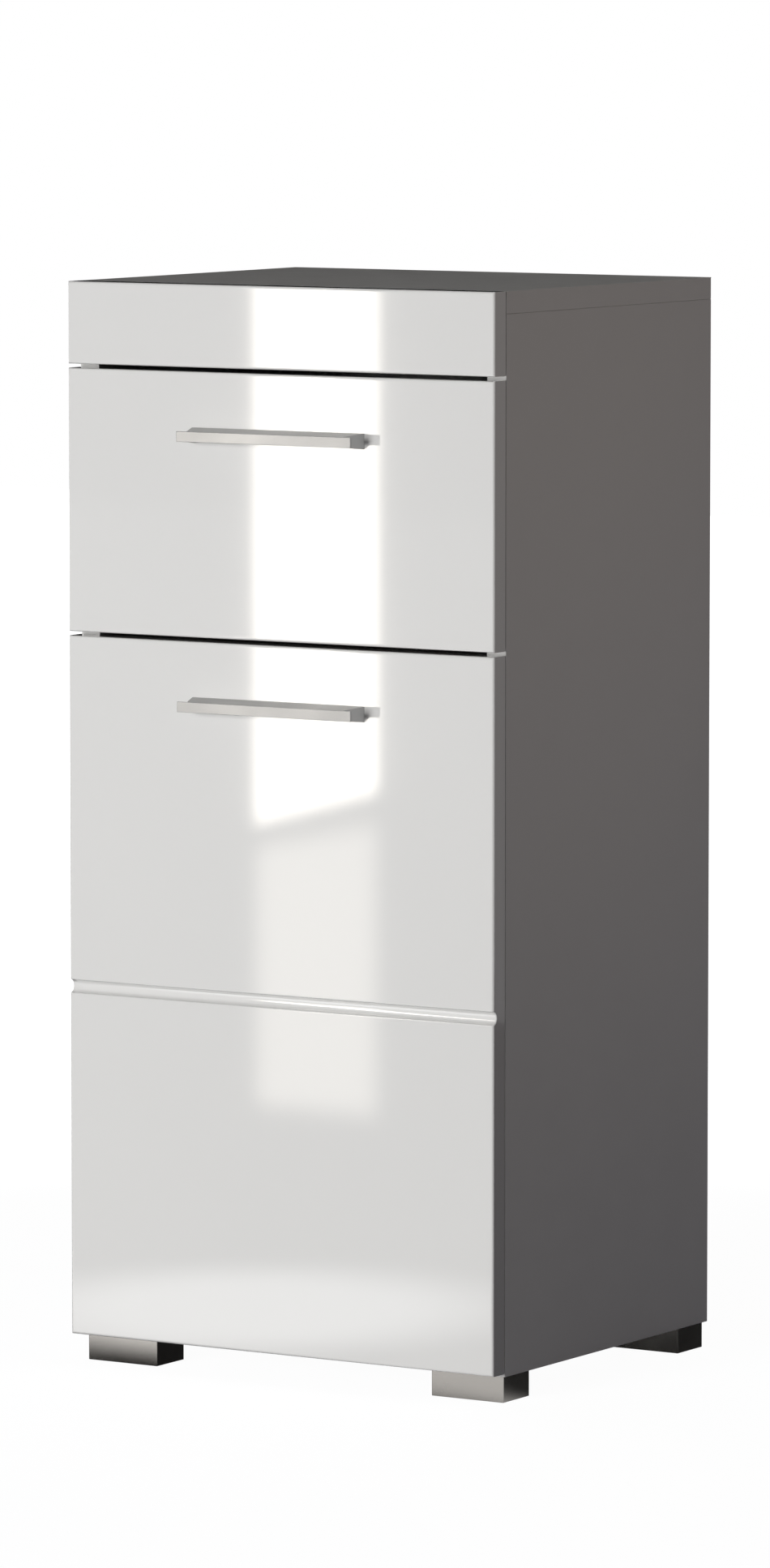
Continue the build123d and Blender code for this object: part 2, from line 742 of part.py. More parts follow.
def cabinet_rail():
    """Channel on the cabinet side, open towards the drawer."""
    low, high = runner_floor_z - runner_steel, runner_floor_z + runner_inner_height + runner_steel
    inner = wall_x + runner_steel
    points = [
        (wall_x, low), (inner + runner_floor_reach, low), (inner + runner_floor_reach, runner_floor_z),
        (inner, runner_floor_z), (inner, high - runner_steel),
        (inner + runner_roof_reach, high - runner_steel), (inner + runner_roof_reach, high), (wall_x, high),
    ]
    tail = rod(axle_radius / 2 + screw_clearance, (wall_x, cabinet_roller_y, roller_z),
               (inner, cabinet_roller_y, roller_z))
    rail = profile_rail(points, runner_front_y, runner_length)
    rail = clipped(rail, inner + runner_roof_reach, high - 2 * runner_steel, high)
    rail = clipped(rail, inner + runner_floor_reach, low, runner_floor_z)
    holes = spare_holes(runner_front_y, runner_length, wall_x, inner, rail_screw_z)
    return cut(rail, rail_screw_bores + holes + [tail])


def drawer_rail():
    """Angle under the drawer side, with the track that runs on the cabinet roller."""
    outer, track_high = -drawer_outer_x, track_low_z + runner_steel
    points = [
        (outer, drawer_low_side_z), (outer + foot_flange, drawer_low_side_z),
        (outer + foot_flange, drawer_low_side_z - runner_steel), (web_x, drawer_low_side_z - runner_steel),
        (web_x, track_low_z), (web_x - track_reach, track_low_z), (web_x - track_reach, track_high),
        (outer, track_high),
    ]
    tail = rod(axle_radius / 2 + screw_clearance, (web_x, drawer_roller_y, roller_z),
               (outer, drawer_roller_y, roller_z))
    rail = profile_rail(points, front_back_y, runner_length)
    rail = clipped(rail, outer + foot_flange, drawer_low_side_z - runner_steel, drawer_low_side_z)
    rail = clipped(rail, web_x - track_reach, track_low_z, track_high)
    holes = spare_holes(front_back_y, runner_length, web_x, outer, drawer_screw_z)
    flange_x = outer + foot_flange / 2
    for step in range(flange_holes):
        y = front_back_y + runner_length * (step + 0.5) / flange_holes
        holes.append(rod(flange_hole_radius, (flange_x, y, drawer_low_side_z - runner_steel),
                         (flange_x, y, drawer_low_side_z)))
    return cut(rail, drawer_rail_bores + holes + [tail])


def axle(root_x, direction, line_y):
    """Stepped rivet: a tail in the steel, a journal for the roller and a flat head."""
    journal = roller_width + 2 * roller_running_gap
    profile = [
        (-runner_steel, axle_radius / 2), (0, axle_radius / 2), (0, axle_radius), (journal, axle_radius),
        (journal, axle_head_radius), (journal + axle_head, axle_head_radius),
    ]
    return turned(profile, (root_x, line_y, roller_z), (root_x + direction, line_y, roller_z))


def roller(root_x, direction, line_y):
    """Nylon roller with a hub, a recessed web and a rim on each side."""
    start = roller_running_gap
    bore = axle_radius + roller_bore_clearance
    wheel = turned([(start, roller_radius), (start + roller_width, roller_radius)],
                   (root_x, line_y, roller_z), (root_x + direction, line_y, roller_z))
    hub, rim = bore + roller_hub, roller_radius - roller_rim

    def ring(along):
        low = (root_x + direction * along, line_y, roller_z)
        high = (root_x + direction * (along + roller_recess), line_y, roller_z)
        return rod(rim, low, high) - rod(hub, low, high)

    hole = rod(bore, (root_x, line_y, roller_z),
               (root_x + direction * (roller_width + 2 * roller_running_gap), line_y, roller_z))
    return wheel - ring(start) - ring(start + roller_width - roller_recess) - hole


# Hinges, drawn about the inner face and front edge of the left side
def turned_open(point, degrees):
    """Where a point of the door lies, seen from above, once it has opened by that much."""
    angle = radians(degrees)
    dx, dy = point[0] - turning_axis[0], point[1] - turning_axis[1]
    return (turning_axis[0] + dx * cos(angle) + dy * sin(angle),
            turning_axis[1] - dx * sin(angle) + dy * cos(angle))


def bearing(point):
    """Direction and distance from the cup pin to the arm pin, seen from above."""
    dx, dy = arm_pin[0] - point[0], arm_pin[1] - point[1]
    return atan2(dy, dx), hypot(dx, dy)


opening_steps = [door_opening * step / 24 for step in range(25)]
bearings = [bearing(turned_open(cup_pin, step)) for step in opening_steps]
link_turn = bearings[-1][0] - bearings[0][0]
link_ratio = 1 + link_turn / radians(door_opening)
link_reach = (min(reach for angle, reach in bearings), max(reach for angle, reach in bearings))
sideways = [(angle - bearings[0][0] - link_turn * step / door_opening) * reach
            for (angle, reach), step in zip(bearings, opening_steps)]
slot_low, slot_high = min(sideways), max(sideways)
slot_half = hinge_pin_radius + link_slot_clearance + (slot_high - slot_low) / 2


def hinge_link():
    """The link: round bore on the cup pin, an elbow, and a long slot for the arm pin."""
    eye = hinge_pin_radius + link_wall
    broad = slot_half + link_wall
    angle = bearings[0][0]
    shift = (slot_high + slot_low) / 2

    def along(reach, side=0.0):
        return (cup_pin[0] + reach * cos(angle) - side * sin(angle),
                cup_pin[1] + reach * sin(angle) + side * cos(angle))

    def bar(start, end, radius):
        run = hypot(end[0] - start[0], end[1] - start[1])
        turn = atan2(end[1] - start[1], end[0] - start[0]) * 180 / pi
        middle = ((start[0] + end[0]) / 2, (start[1] + end[1]) / 2)
        slot = SlotCenterToCenter(run, 2 * radius)
        return Pos(middle[0], middle[1], -link_half_thickness) * (
            Rot(0, 0, turn) * extrude(slot, 2 * link_half_thickness))

    elbow_angle = angle - radians(link_elbow_turn)
    elbow = (cup_pin[0] + link_elbow * cos(elbow_angle), cup_pin[1] + link_elbow * sin(elbow_angle))
    near, far = along(link_reach[0], shift), along(link_reach[1], shift)
    body = bar(cup_pin, elbow, eye) + bar(elbow, near, eye) + bar(near, far, broad)
    eye_bore = rod(hinge_pin_radius + hinge_pin_clearance, (*cup_pin, -link_half_thickness),
                   (*cup_pin, link_half_thickness))
    return body - eye_bore - bar(near, far, slot_half)


def hinge_cup():
    """Pressed cup in the door, with two screw wings on the door's back."""
    back = -front_gap
    centre = cup_centre_x
    outer = cup_radius - cup_fit
    shell = rod(outer, (centre, back, 0), (centre, back - cup_depth, 0))
    right = centre + wing_beyond_centre
    wings = block(wing_start, right, back, back + wing_thickness, -wing_half_height, wing_half_height)
    wings = fillet(wings.edges().filter_by(Axis.Y), wing_round)
    inside = rod(outer - cup_wall, (centre, back + wing_thickness, 0),
                 (centre, back - cup_depth + cup_wall, 0))
    cup = (shell + wings) - inside
    for side in (-1, 1):
        start = (centre + wing_screw_offset, back + wing_thickness, side * wing_screw_spread)
        cup = cup - rod(small_screw_radius + screw_clearance, start, (start[0], back, start[2]))
    pin_half = pin_half_length()
    return cup - rod(hinge_pin_radius + hinge_pin_clearance, (*cup_pin, -pin_half - cup_fit),
                     (*cup_pin, pin_half + cup_fit))


def pin_half_length():
    """Half the cup pin: its ends lie just inside the outer wall of the cup."""
    across = abs(cup_pin[0] - cup_centre_x) + hinge_pin_radius
    return sqrt((cup_radius - cup_fit) ** 2 - across ** 2) - cup_fit


def cup_screws():
    """The two screws of one cup."""
    back = -front_gap + wing_thickness
    x = cup_centre_x + wing_screw_offset
    return [pan_head((x, back, side * wing_screw_spread),
                     (x, back - cup_screw_length, side * wing_screw_spread),
                     small_screw_radius, small_screw_head_radius, small_screw_head_height)
            for side in (-1, 1)]


def door_hinge_bores():
    """The cup bore and the pilot holes beside it."""
    back = -front_gap
    bores = [rod(cup_radius, (cup_centre_x, back, 0), (cup_centre_x, back - cup_depth - cup_fit, 0))]
    x = cup_centre_x + wing_screw_offset
    for side in (-1, 1):
        z = side * wing_screw_spread
        bores.append(rod(small_screw_radius + screw_clearance, (x, back, z),
                         (x, back + wing_thickness - cup_screw_length - screw_clearance, z)))
    return bores


def hinge_arm():
    """Folded arm: two cheeks that carry the pin, and a back over the mounting plate."""
    nose = arm_nose_radius
    px, py = arm_pin
    outline = [
        (px - nose, py), (px - nose, py + arm_neck), (arm_foot, arm_shoulder), (arm_foot, arm_rear),
        (arm_back, arm_rear), (arm_back, arm_shoulder), (px + nose, py + arm_neck), (px + nose, py),
    ]
    arm = None
    for side in (-1, 1):
        low = side * arm_half_width if side < 0 else arm_half_width - arm_sheet
        cheek = flat_shape(outline, low, low + arm_sheet)
        cheek = cheek + rod(nose, (px, py, low), (px, py, low + arm_sheet))
        cheek = cheek - rod(hinge_pin_radius + hinge_pin_clearance, (px, py, low), (px, py, low + arm_sheet))
        arm = cheek if arm is None else arm + cheek
    arm = arm + block(arm_back - arm_sheet, arm_back, arm_shoulder, arm_rear, -arm_half_width, arm_half_width)
    slot = SlotCenterToCenter(arm_slot_length, 2 * (arm_screw_radius + screw_clearance))
    slot = Pos(arm_back - arm_sheet, arm_screw_line, 0) * extrude(Plane.YZ * slot, arm_sheet)
    adjuster = rod(arm_adjuster_radius, (arm_back - arm_sheet, arm_adjuster_line, 0),
                   (arm_back, arm_adjuster_line, 0))
    return arm - slot - adjuster


def hinge_plate():
    """Cross-shaped mounting plate, with the block that the arm closes over."""
    top = arm_back - arm_sheet - plate_web_gap
    wing_half = plate_screw_spread + plate_wing_half_depth
    wings = block(0, plate_thickness, plate_wing_line - plate_wing_half_depth,
                  plate_wing_line + plate_wing_half_depth, -wing_half, wing_half)
    wings = fillet(wings.edges().filter_by(Axis.X), plate_wing_round)
    body = block(0, top, plate_front, plate_rear, -plate_half_width, plate_half_width)
    body = chamfer(body.faces().sort_by(Axis.X)[-1].edges().sort_by(Axis.Y)[0], top / 3)
    plate = wings + body
    for side in (-1, 1):
        spot = (0, plate_wing_line, side * plate_screw_spread)
        plate = plate - rod(small_screw_radius + screw_clearance, spot, (plate_thickness, *spot[1:]))
    return plate - rod(arm_screw_radius + screw_clearance, (top, arm_screw_line, 0),
                       (arm_back - arm_screw_length - screw_clearance, arm_screw_line, 0))


def plate_screws():
    """The two screws of one mounting plate."""
    return [pan_head((plate_thickness, plate_wing_line, side * plate_screw_spread),
                     (plate_thickness - plate_screw_length, plate_wing_line, side * plate_screw_spread),
                     small_screw_radius, small_screw_head_radius, small_screw_head_height)
            for side in (-1, 1)]


def plate_bores():
    """Their pilot holes in the side panel."""
    tip_x = plate_thickness - plate_screw_length - screw_clearance
    return [rod(small_screw_radius + screw_clearance, (0, plate_wing_line, side * plate_screw_spread),
                (tip_x, plate_wing_line, side * plate_screw_spread))
            for side in (-1, 1)]


def arm_pin_rivet():
    """Riveted pin through both cheeks of the arm."""
    half = arm_half_width
    profile = [
        (-hinge_rivet_head, hinge_rivet_radius), (0, hinge_rivet_radius), (0, hinge_pin_radius),
        (2 * half, hinge_pin_radius), (2 * half, hinge_rivet_radius),
        (2 * half + hinge_rivet_head, hinge_rivet_radius),
    ]
    return turned(profile, (*arm_pin, -half), (*arm_pin, half))


def cup_pin_bar():
    """Plain pin across the cup."""
    half = pin_half_length()
    return rod(hinge_pin_radius, (*cup_pin, -half), (*cup_pin, half))


def arm_screw():
    """Fixing screw of the arm."""
    return pan_head((arm_back, arm_screw_line, 0), (arm_back - arm_screw_length, arm_screw_line, 0),
                    arm_screw_radius, arm_screw_head_radius, arm_screw_head_height)


def at_hinge(which, shape):
    """Put a hinge piece at one of the two hinge heights."""
    return Pos(-side_inner_x, carcass_y, hinge_z[which]) * shape


# Door
def door_panel():
    """Tall front with a cove across its middle and the bores for hinges and handle."""
    panel = front_panel(door_low_z, door_top_z)
    radius = (groove_width ** 2 / 4 + groove_depth ** 2) / (2 * groove_depth)
    centre_y = face_y + groove_depth - radius
    panel = panel - rod(radius, (-side_outer_x, centre_y, door_middle_z),
                        (side_outer_x, centre_y, door_middle_z))
    lips = [edge for edge in panel.edges().filter_by(Axis.X)
            if abs(edge.center().Y - face_y) < 0.01
            and abs(abs(edge.center().Z - door_middle_z) - groove_width / 2) < 0.05]
    panel = fillet(lips, groove_lip)
    tools = handle_bores(door_top_z)
    for which in hinge_z:
        tools += [at_hinge(which, bore) for bore in door_hinge_bores()]
    return cut(panel, tools)


def buffers(low_z, high_z):
    """Two clear pads on the back of a front, where it meets the right side."""
    x = side_inner_x + board / 2
    return [rod(buffer_radius, (x, front_back_y, z), (x, front_back_y + buffer_thickness, z))
            for z in (low_z + buffer_inset, high_z - buffer_inset)]


# Build every piece
plate_holes = [at_hinge(which, bore) for which in hinge_z for bore in plate_bores()]
left_side = side_panel()
right_side = mirrored(left_side)
left_side = cut(left_side, plate_holes)
cabinet_root = wall_x + runner_steel
drawer_root = web_x

pieces = {
    "top_panel": top_panel(),
    "side_panel_left": left_side,
    "side_panel_right": right_side,
    "bottom_panel": between_panel("bottom", foot_height, carcass_y),
    "divider_panel": between_panel("divider", divider_low_z, carcass_y),
    "back_panel": back_panel(),
    "fascia_rail": fascia_rail(),
    "fascia_panel": cut(front_panel(fascia_bottom_z, cabinet_height), fascia_bores),
    "shelf": shelf(),
    "drawer_front": drawer_front(),
    "drawer_side_left": drawer_side(),
    "drawer_side_right": mirrored(drawer_side()),
    "drawer_back": drawer_back(),
    "drawer_bottom": drawer_bottom(),
    "drawer_handle": handle(drawer_top_z),
    "door_panel": door_panel(),
    "door_handle": handle(door_top_z),
    "cabinet_rail_left": cabinet_rail(),
    "cabinet_rail_right": mirrored(cabinet_rail()),
    "drawer_rail_left": drawer_rail(),
    "drawer_rail_right": mirrored(drawer_rail()),
    "cabinet_roller_left": roller(cabinet_root, 1, cabinet_roller_y),
    "cabinet_roller_right": mirrored(roller(cabinet_root, 1, cabinet_roller_y)),
    "drawer_roller_left": roller(drawer_root, -1, drawer_roller_y),
    "drawer_roller_right": mirrored(roller(drawer_root, -1, drawer_roller_y)),
}
for end in ("front", "rear"):
    pieces[f"foot_{end}_left"] = foot(foot_middle_y[end])
    pieces[f"foot_{end}_right"] = mirrored(pieces[f"foot_{end}_left"])
for which in hinge_z:
    pieces[f"hinge_cup_{which}"] = at_hinge(which, hinge_cup())
    pieces[f"hinge_link_{which}"] = at_hinge(which, hinge_link())
    pieces[f"hinge_arm_{which}"] = at_hinge(which, hinge_arm())
    pieces[f"hinge_plate_{which}"] = at_hinge(which, hinge_plate())

shelf_pins = [shelf_pin(row_y) for row_y in shelf_pin_y]
cabinet_axle = axle(cabinet_root, 1, cabinet_roller_y)
drawer_axle = axle(drawer_root, -1, drawer_roller_y)
groups = {
    "cam_locks": cams + [mirrored(cam) for cam in cams],
    "cam_bolts": bolts + [mirrored(bolt) for bolt in bolts],
    "dowels": dowels + [mirrored(dowel) for dowel in dowels],
    "back_nails": back_nails,
    "fascia_screws": fascia_screws,
    "foot_screws": foot_screws + [mirrored(screw) for screw in foot_screws],
    "shelf_pins": shelf_pins + [mirrored(pin) for pin in shelf_pins],
    "drawer_cam_locks": drawer_cams + [mirrored(cam) for cam in drawer_cams],
    "drawer_cam_bolts": drawer_bolts + [mirrored(bolt) for bolt in drawer_bolts],
    "drawer_back_screws": drawer_back_screws + [mirrored(screw) for screw in drawer_back_screws],
    "drawer_handle_screws": handle_screws(drawer_top_z),
    "door_handle_screws": handle_screws(door_top_z),
    "cabinet_rail_screws": cabinet_rail_screws + [mirrored(screw) for screw in cabinet_rail_screws],
    "drawer_rail_screws": drawer_rail_screws + [mirrored(screw) for screw in drawer_rail_screws],
    "cabinet_roller_axles": [cabinet_axle, mirrored(cabinet_axle)],
    "drawer_roller_axles": [drawer_axle, mirrored(drawer_axle)],
    "drawer_buffers": buffers(drawer_low_z, drawer_top_z),
    "door_buffers": buffers(door_low_z, door_top_z),
    "hinge_cup_screws": [at_hinge(which, screw) for which in hinge_z for screw in cup_screws()],
    "hinge_plate_screws": [at_hinge(which, screw) for which in hinge_z for screw in plate_screws()],
    "hinge_arm_screws": [at_hinge(which, arm_screw()) for which in hinge_z],
    "hinge_arm_pins": [at_hinge(which, arm_pin_rivet()) for which in hinge_z],
    "hinge_cup_pins": [at_hinge(which, cup_pin_bar()) for which in hinge_z],
}

os.makedirs("parts", exist_ok=True)
for name, shape in pieces.items():
    export_step(cleaned(shape), f"parts/{name}.step")
for name, shapes in groups.items():
    solids = [solid for shape in shapes for solid in shape.solids()]
    export_step(Compound(children=solids), f"parts/{name}.step")

print("pieces", len(pieces) + len(groups))
print("drawer travel", round(drawer_travel, 3))
print("door axis", round(turning_axis[0] - side_inner_x, 3), round(turning_axis[1] + carcass_y, 3))
print("link pivot", round(cup_pin[0] - side_inner_x, 3), round(cup_pin[1] + carcass_y, 3))
print("link ratio", round(link_ratio, 5))
print("roller line", round(cabinet_roller_y, 3), round(drawer_roller_y, 3), round(roller_z, 3))
print("link reach", [round(value, 3) for value in link_reach], "slot half width", round(slot_half, 3))
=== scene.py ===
"""Looks of the bathroom floor cabinet: finishes, eased boards, turned fasteners and a plain studio."""

import json
import logging
import math
from dataclasses import dataclass, field
from enum import Enum

import bmesh
import bpy
from mathutils import Matrix, Vector

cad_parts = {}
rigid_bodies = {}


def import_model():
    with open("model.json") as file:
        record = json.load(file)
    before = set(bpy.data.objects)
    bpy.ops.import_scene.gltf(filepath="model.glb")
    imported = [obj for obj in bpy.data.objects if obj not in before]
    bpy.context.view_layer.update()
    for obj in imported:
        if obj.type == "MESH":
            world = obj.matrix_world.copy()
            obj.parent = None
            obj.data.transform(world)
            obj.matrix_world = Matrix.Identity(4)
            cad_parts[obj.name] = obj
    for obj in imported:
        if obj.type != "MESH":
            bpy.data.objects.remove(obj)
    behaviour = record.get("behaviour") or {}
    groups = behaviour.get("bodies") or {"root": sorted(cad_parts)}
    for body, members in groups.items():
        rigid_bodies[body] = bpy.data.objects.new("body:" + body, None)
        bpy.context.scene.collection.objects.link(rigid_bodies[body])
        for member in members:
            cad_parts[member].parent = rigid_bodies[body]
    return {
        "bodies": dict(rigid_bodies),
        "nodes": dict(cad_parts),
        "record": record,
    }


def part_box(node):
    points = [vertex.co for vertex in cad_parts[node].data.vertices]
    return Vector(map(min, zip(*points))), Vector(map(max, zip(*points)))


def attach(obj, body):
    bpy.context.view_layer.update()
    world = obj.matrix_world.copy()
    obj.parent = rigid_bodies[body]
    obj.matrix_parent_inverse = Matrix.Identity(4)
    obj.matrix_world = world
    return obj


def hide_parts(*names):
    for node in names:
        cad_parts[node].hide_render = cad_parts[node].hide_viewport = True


log = logging.getLogger("cabinet")

MERGE_WITHIN = 0.000002
FLAT_WITHIN = math.radians(0.3)
CREASE = math.radians(32.0)
SHARP = math.radians(50.0)

Colour = tuple[float, float, float]
Value = bpy.types.NodeSocket | float


class Grain(Enum):
    """The direction along which a brushed or drawn metal shows its lines."""

    ALONG_X = (0.03, 1.0, 1.0)
    ALONG_Y = (1.0, 0.03, 1.0)


class Board:
    """A small drawing board for the nodes of one tree."""

    def __init__(self, tree: bpy.types.NodeTree) -> None:
        """Start with an empty board.

        Args:
            tree: The tree that the nodes go into.
        """
        self.tree = tree
        tree.nodes.clear()

    def add(self, kind: str, **settings: object) -> bpy.types.Node:
        """Add a node.

        Args:
            kind: Blender's name of the node.
            settings: Properties to set on it.

        Returns:
            The new node.
        """
        node = self.tree.nodes.new(kind)
        for key, value in settings.items():
            setattr(node, key, value)
        node.location = (220 * len(self.tree.nodes), 0)
        return node

    def feed(self, target: bpy.types.NodeSocket, value: object) -> None:
        """Link a socket to an input, or set a plain value on it."""
        if isinstance(value, bpy.types.NodeSocket):
            self.tree.links.new(value, target)
        else:
            target.default_value = value

    def math(self, operation: str, first: Value, second: Value = 0.0) -> bpy.types.NodeSocket:
        """Work out one value from two.

        Args:
            operation: Blender's name of the sum.
            first: First value.
            second: Second value.

        Returns:
            The value socket.
        """
        node = self.add("ShaderNodeMath", operation=operation)
        self.feed(node.inputs[0], first)
        self.feed(node.inputs[1], second)
        return node.outputs[0]

    def blend(self, factor: Value, low: Value, high: Value) -> bpy.types.NodeSocket:
        """Blend two values.

        Args:
            factor: Where between them.
            low: Value at 0.
            high: Value at 1.

        Returns:
            The value socket.
        """
        node = self.add("ShaderNodeMix")
        for key, value in (("Factor", factor), ("A", low), ("B", high)):
            self.feed(node.inputs[key], value)
        return node.outputs["Result"]

    def vector(self, operation: str, first: object, second: object = (0.0, 0.0, 0.0)) -> bpy.types.Node:
        """Work out one vector from two.

        Args:
            operation: Blender's name of the sum.
            first: First vector.
            second: Second vector.

        Returns:
            The node.
        """
        node = self.add("ShaderNodeVectorMath", operation=operation)
        self.feed(node.inputs[0], first)
        self.feed(node.inputs[1], second)
        return node

    def place(self, scale: Colour = (1.0, 1.0, 1.0), move: Colour = (0.0, 0.0, 0.0)) -> bpy.types.NodeSocket:
        """Object coordinates, stretched and moved.

        Args:
            scale: How much each axis is multiplied by.
            move: What is then added to each.

        Returns:
            The vector socket.
        """
        coordinates = self.add("ShaderNodeTexCoord")
        mapping = self.add("ShaderNodeMapping")
        mapping.inputs["Scale"].default_value = scale
        mapping.inputs["Location"].default_value = move
        self.feed(mapping.inputs["Vector"], coordinates.outputs["Object"])
        return mapping.outputs["Vector"]


class Paint(Board):
    """The drawing board of one finish."""

    def __init__(self, name: str) -> None:
        """Start a material with its shader.

        Args:
            name: Name of the material.
        """
        self.material = bpy.data.materials.new(name)
        self.material.use_nodes = True
        super().__init__(self.material.node_tree)
        self.shader = self.add("ShaderNodeBsdfPrincipled")
        self.feed(self.add("ShaderNodeOutputMaterial").inputs["Surface"], self.shader.outputs["BSDF"])

    def set(self, **values: Value) -> None:
        """Feed the shader's sockets, with underscores for the spaces in their names."""
        for key, value in values.items():
            self.feed(self.shader.inputs[key.replace("_", " ")], value)

    def noise(self, vector: bpy.types.NodeSocket, per_metre: float, detail: float = 3.0,
              roughness: float = 0.5) -> bpy.types.NodeSocket:
        """Noise of a real size.

        Args:
            vector: Where the noise is read.
            per_metre: How many of its lumps lie in one metre.
            detail: Octaves.
            roughness: Weight of the finer octaves.

        Returns:
            Its factor socket.
        """
        node = self.add("ShaderNodeTexNoise")
        for key, value in (("Vector", vector), ("Scale", per_metre), ("Detail", detail), ("Roughness", roughness)):
            self.feed(node.inputs[key], value)
        return node.outputs["Fac"]

    def span(self, factor: bpy.types.NodeSocket, low: float, high: float) -> bpy.types.NodeSocket:
        """Spread a noise between two values.

        Args:
            factor: The noise, around one half.
            low: Result where it is 0.3.
            high: Result where it is 0.7.

        Returns:
            The value socket.
        """
        node = self.add("ShaderNodeMapRange")
        for key, value in (("Value", factor), ("From Min", 0.3), ("From Max", 0.7), ("To Min", low), ("To Max", high)):
            self.feed(node.inputs[key], value)
        return node.outputs["Result"]

    def tint(self, factor: Value, dark: object, light: object) -> bpy.types.NodeSocket:
        """Blend two colours, each given in numbers or by a socket.

        Args:
            factor: Where between them.
            dark: Colour at 0.
            light: Colour at 1.

        Returns:
            The colour socket.
        """
        node = self.add("ShaderNodeMix", data_type="RGBA")
        self.feed(node.inputs["Factor"], factor)
        for key, colour in (("A", dark), ("B", light)):
            self.feed(node.inputs[key], (*colour, 1.0) if isinstance(colour, tuple) else colour)
        return node.outputs["Result"]

    def bump(self, height: bpy.types.NodeSocket, depth: float) -> None:
        """Raise the surface by a texture.

        Args:
            height: The texture's value.
            depth: Its height in metres.
        """
        node = self.add("ShaderNodeBump")
        node.inputs["Distance"].default_value = depth
        self.feed(node.inputs["Height"], height)
        self.feed(self.shader.inputs["Normal"], node.outputs["Normal"])

    def core(self, low: Vector, high: Vector, skin: float = 0.0004) -> bpy.types.NodeSocket:
        """One under the skin of a board, where bores and rebates show what it is made of.

        Args:
            low: Lowest corner of the board.
            high: Highest corner.
            skin: How far the skin reaches in.

        Returns:
            The factor socket.
        """
        centre = (low + high) / 2
        half = (high - low) / 2 - Vector((skin, skin, skin))
        away = self.vector("ABSOLUTE", self.place(move=tuple(-centre)))
        short = self.vector("SUBTRACT", away.outputs[0], tuple(half))
        split = self.add("ShaderNodeSeparateXYZ")
        self.feed(split.inputs[0], short.outputs[0])
        most = self.math("MAXIMUM", self.math("MAXIMUM", split.outputs[0], split.outputs[1]), split.outputs[2])
        return self.math("LESS_THAN", most, 0.0)


@dataclass(frozen=True)
class GlossLacquer:
    """High gloss white lacquer: a clear coat over white on fibreboard, with a hint of orange peel."""

    name: str
    low: Vector
    high: Vector
    white: Colour = (0.700, 0.697, 0.688)
    shade: Colour = (0.684, 0.681, 0.672)
    fibre_light: Colour = (0.400, 0.290, 0.185)
    fibre_dark: Colour = (0.290, 0.200, 0.120)
    roughness: float = 0.06
    coat_roughness: float = 0.025
    refraction: float = 1.5
    peel_per_metre: float = 110.0
    peel_depth: float = 0.000004
    below_groove: float = 0.006

    def make(self) -> bpy.types.Material:
        """Build the material."""
        paint = Paint(self.name)
        place = paint.place()
        lacquer = paint.tint(paint.noise(place, 5.0, 2.0), self.shade, self.white)
        fibre = paint.tint(paint.noise(place, 900.0, 4.0, 0.7), self.fibre_dark, self.fibre_light)
        inside = paint.core(self.low + Vector((0.0, self.below_groove, 0.0)), self.high)
        paint.set(Base_Color=paint.tint(inside, lacquer, fibre), Roughness=self.roughness, IOR=self.refraction,
                  Coat_Weight=1.0, Coat_Roughness=self.coat_roughness, Coat_IOR=self.refraction)
        paint.bump(paint.noise(place, self.peel_per_metre, 1.0), self.peel_depth)
        return paint.material


@dataclass(frozen=True)
class FoilBoard:
    """Satin white foil with a fine pearl texture, on chipboard that shows in the bores."""

    name: str
    low: Vector
    high: Vector
    white: Colour = (0.700, 0.695, 0.685)
    shade: Colour = (0.670, 0.667, 0.660)
    chip_light: Colour = (0.560, 0.430, 0.280)
    chip_dark: Colour = (0.330, 0.225, 0.130)
    roughness: tuple[float, float] = (0.34, 0.42)
    chip_roughness: float = 0.85
    gloss: float = 0.28
    pearl_per_metre: float = 900.0
    pearl_depth: float = 0.00003

    def make(self) -> bpy.types.Material:
        """Build the material."""
        paint = Paint(self.name)
        place = paint.place()
        foil = paint.tint(paint.noise(place, 6.0, 3.0), self.shade, self.white)
        chips = paint.span(paint.noise(place, 420.0, 5.0, 0.75), 0.0, 1.0)
        inside = paint.core(self.low, self.high)
        sheen = paint.span(paint.noise(place, 40.0, 2.0), *self.roughness)
        paint.set(Base_Color=paint.tint(inside, foil, paint.tint(chips, self.chip_dark, self.chip_light)),
                  Roughness=paint.blend(inside, sheen, self.chip_roughness), Specular_IOR_Level=self.gloss)
        paint.bump(paint.noise(place, self.pearl_per_metre, 2.0), self.pearl_depth)
        return paint.material


@dataclass(frozen=True)
class Hardboard:
    """Thin board, white on one face and raw brown fibre on the other."""

    name: str
    axis: int
    middle: float
    white_above: bool
    white: Colour = (0.690, 0.685, 0.670)
    raw_dark: Colour = (0.190, 0.110, 0.060)
    raw_light: Colour = (0.300, 0.190, 0.110)
    roughness: tuple[float, float] = (0.5, 0.75)
    fibre_depth: float = 0.00008

    def make(self) -> bpy.types.Material:
        """Build the material."""
        paint = Paint(self.name)
        place = paint.place()
        split = paint.add("ShaderNodeSeparateXYZ")
        paint.feed(split.inputs[0], place)
        raw_side = paint.math("LESS_THAN" if self.white_above else "GREATER_THAN", split.outputs[self.axis],
                              self.middle)
        raw = paint.tint(paint.noise(place, 260.0, 5.0, 0.65), self.raw_dark, self.raw_light)
        fibre = paint.noise(paint.place((1.0, 1.0, 0.35)), 700.0, 6.0, 0.7)
        paint.set(Base_Color=paint.tint(raw_side, self.white, raw), Roughness=paint.span(fibre, *self.roughness))
        paint.bump(fibre, self.fibre_depth)
        return paint.material


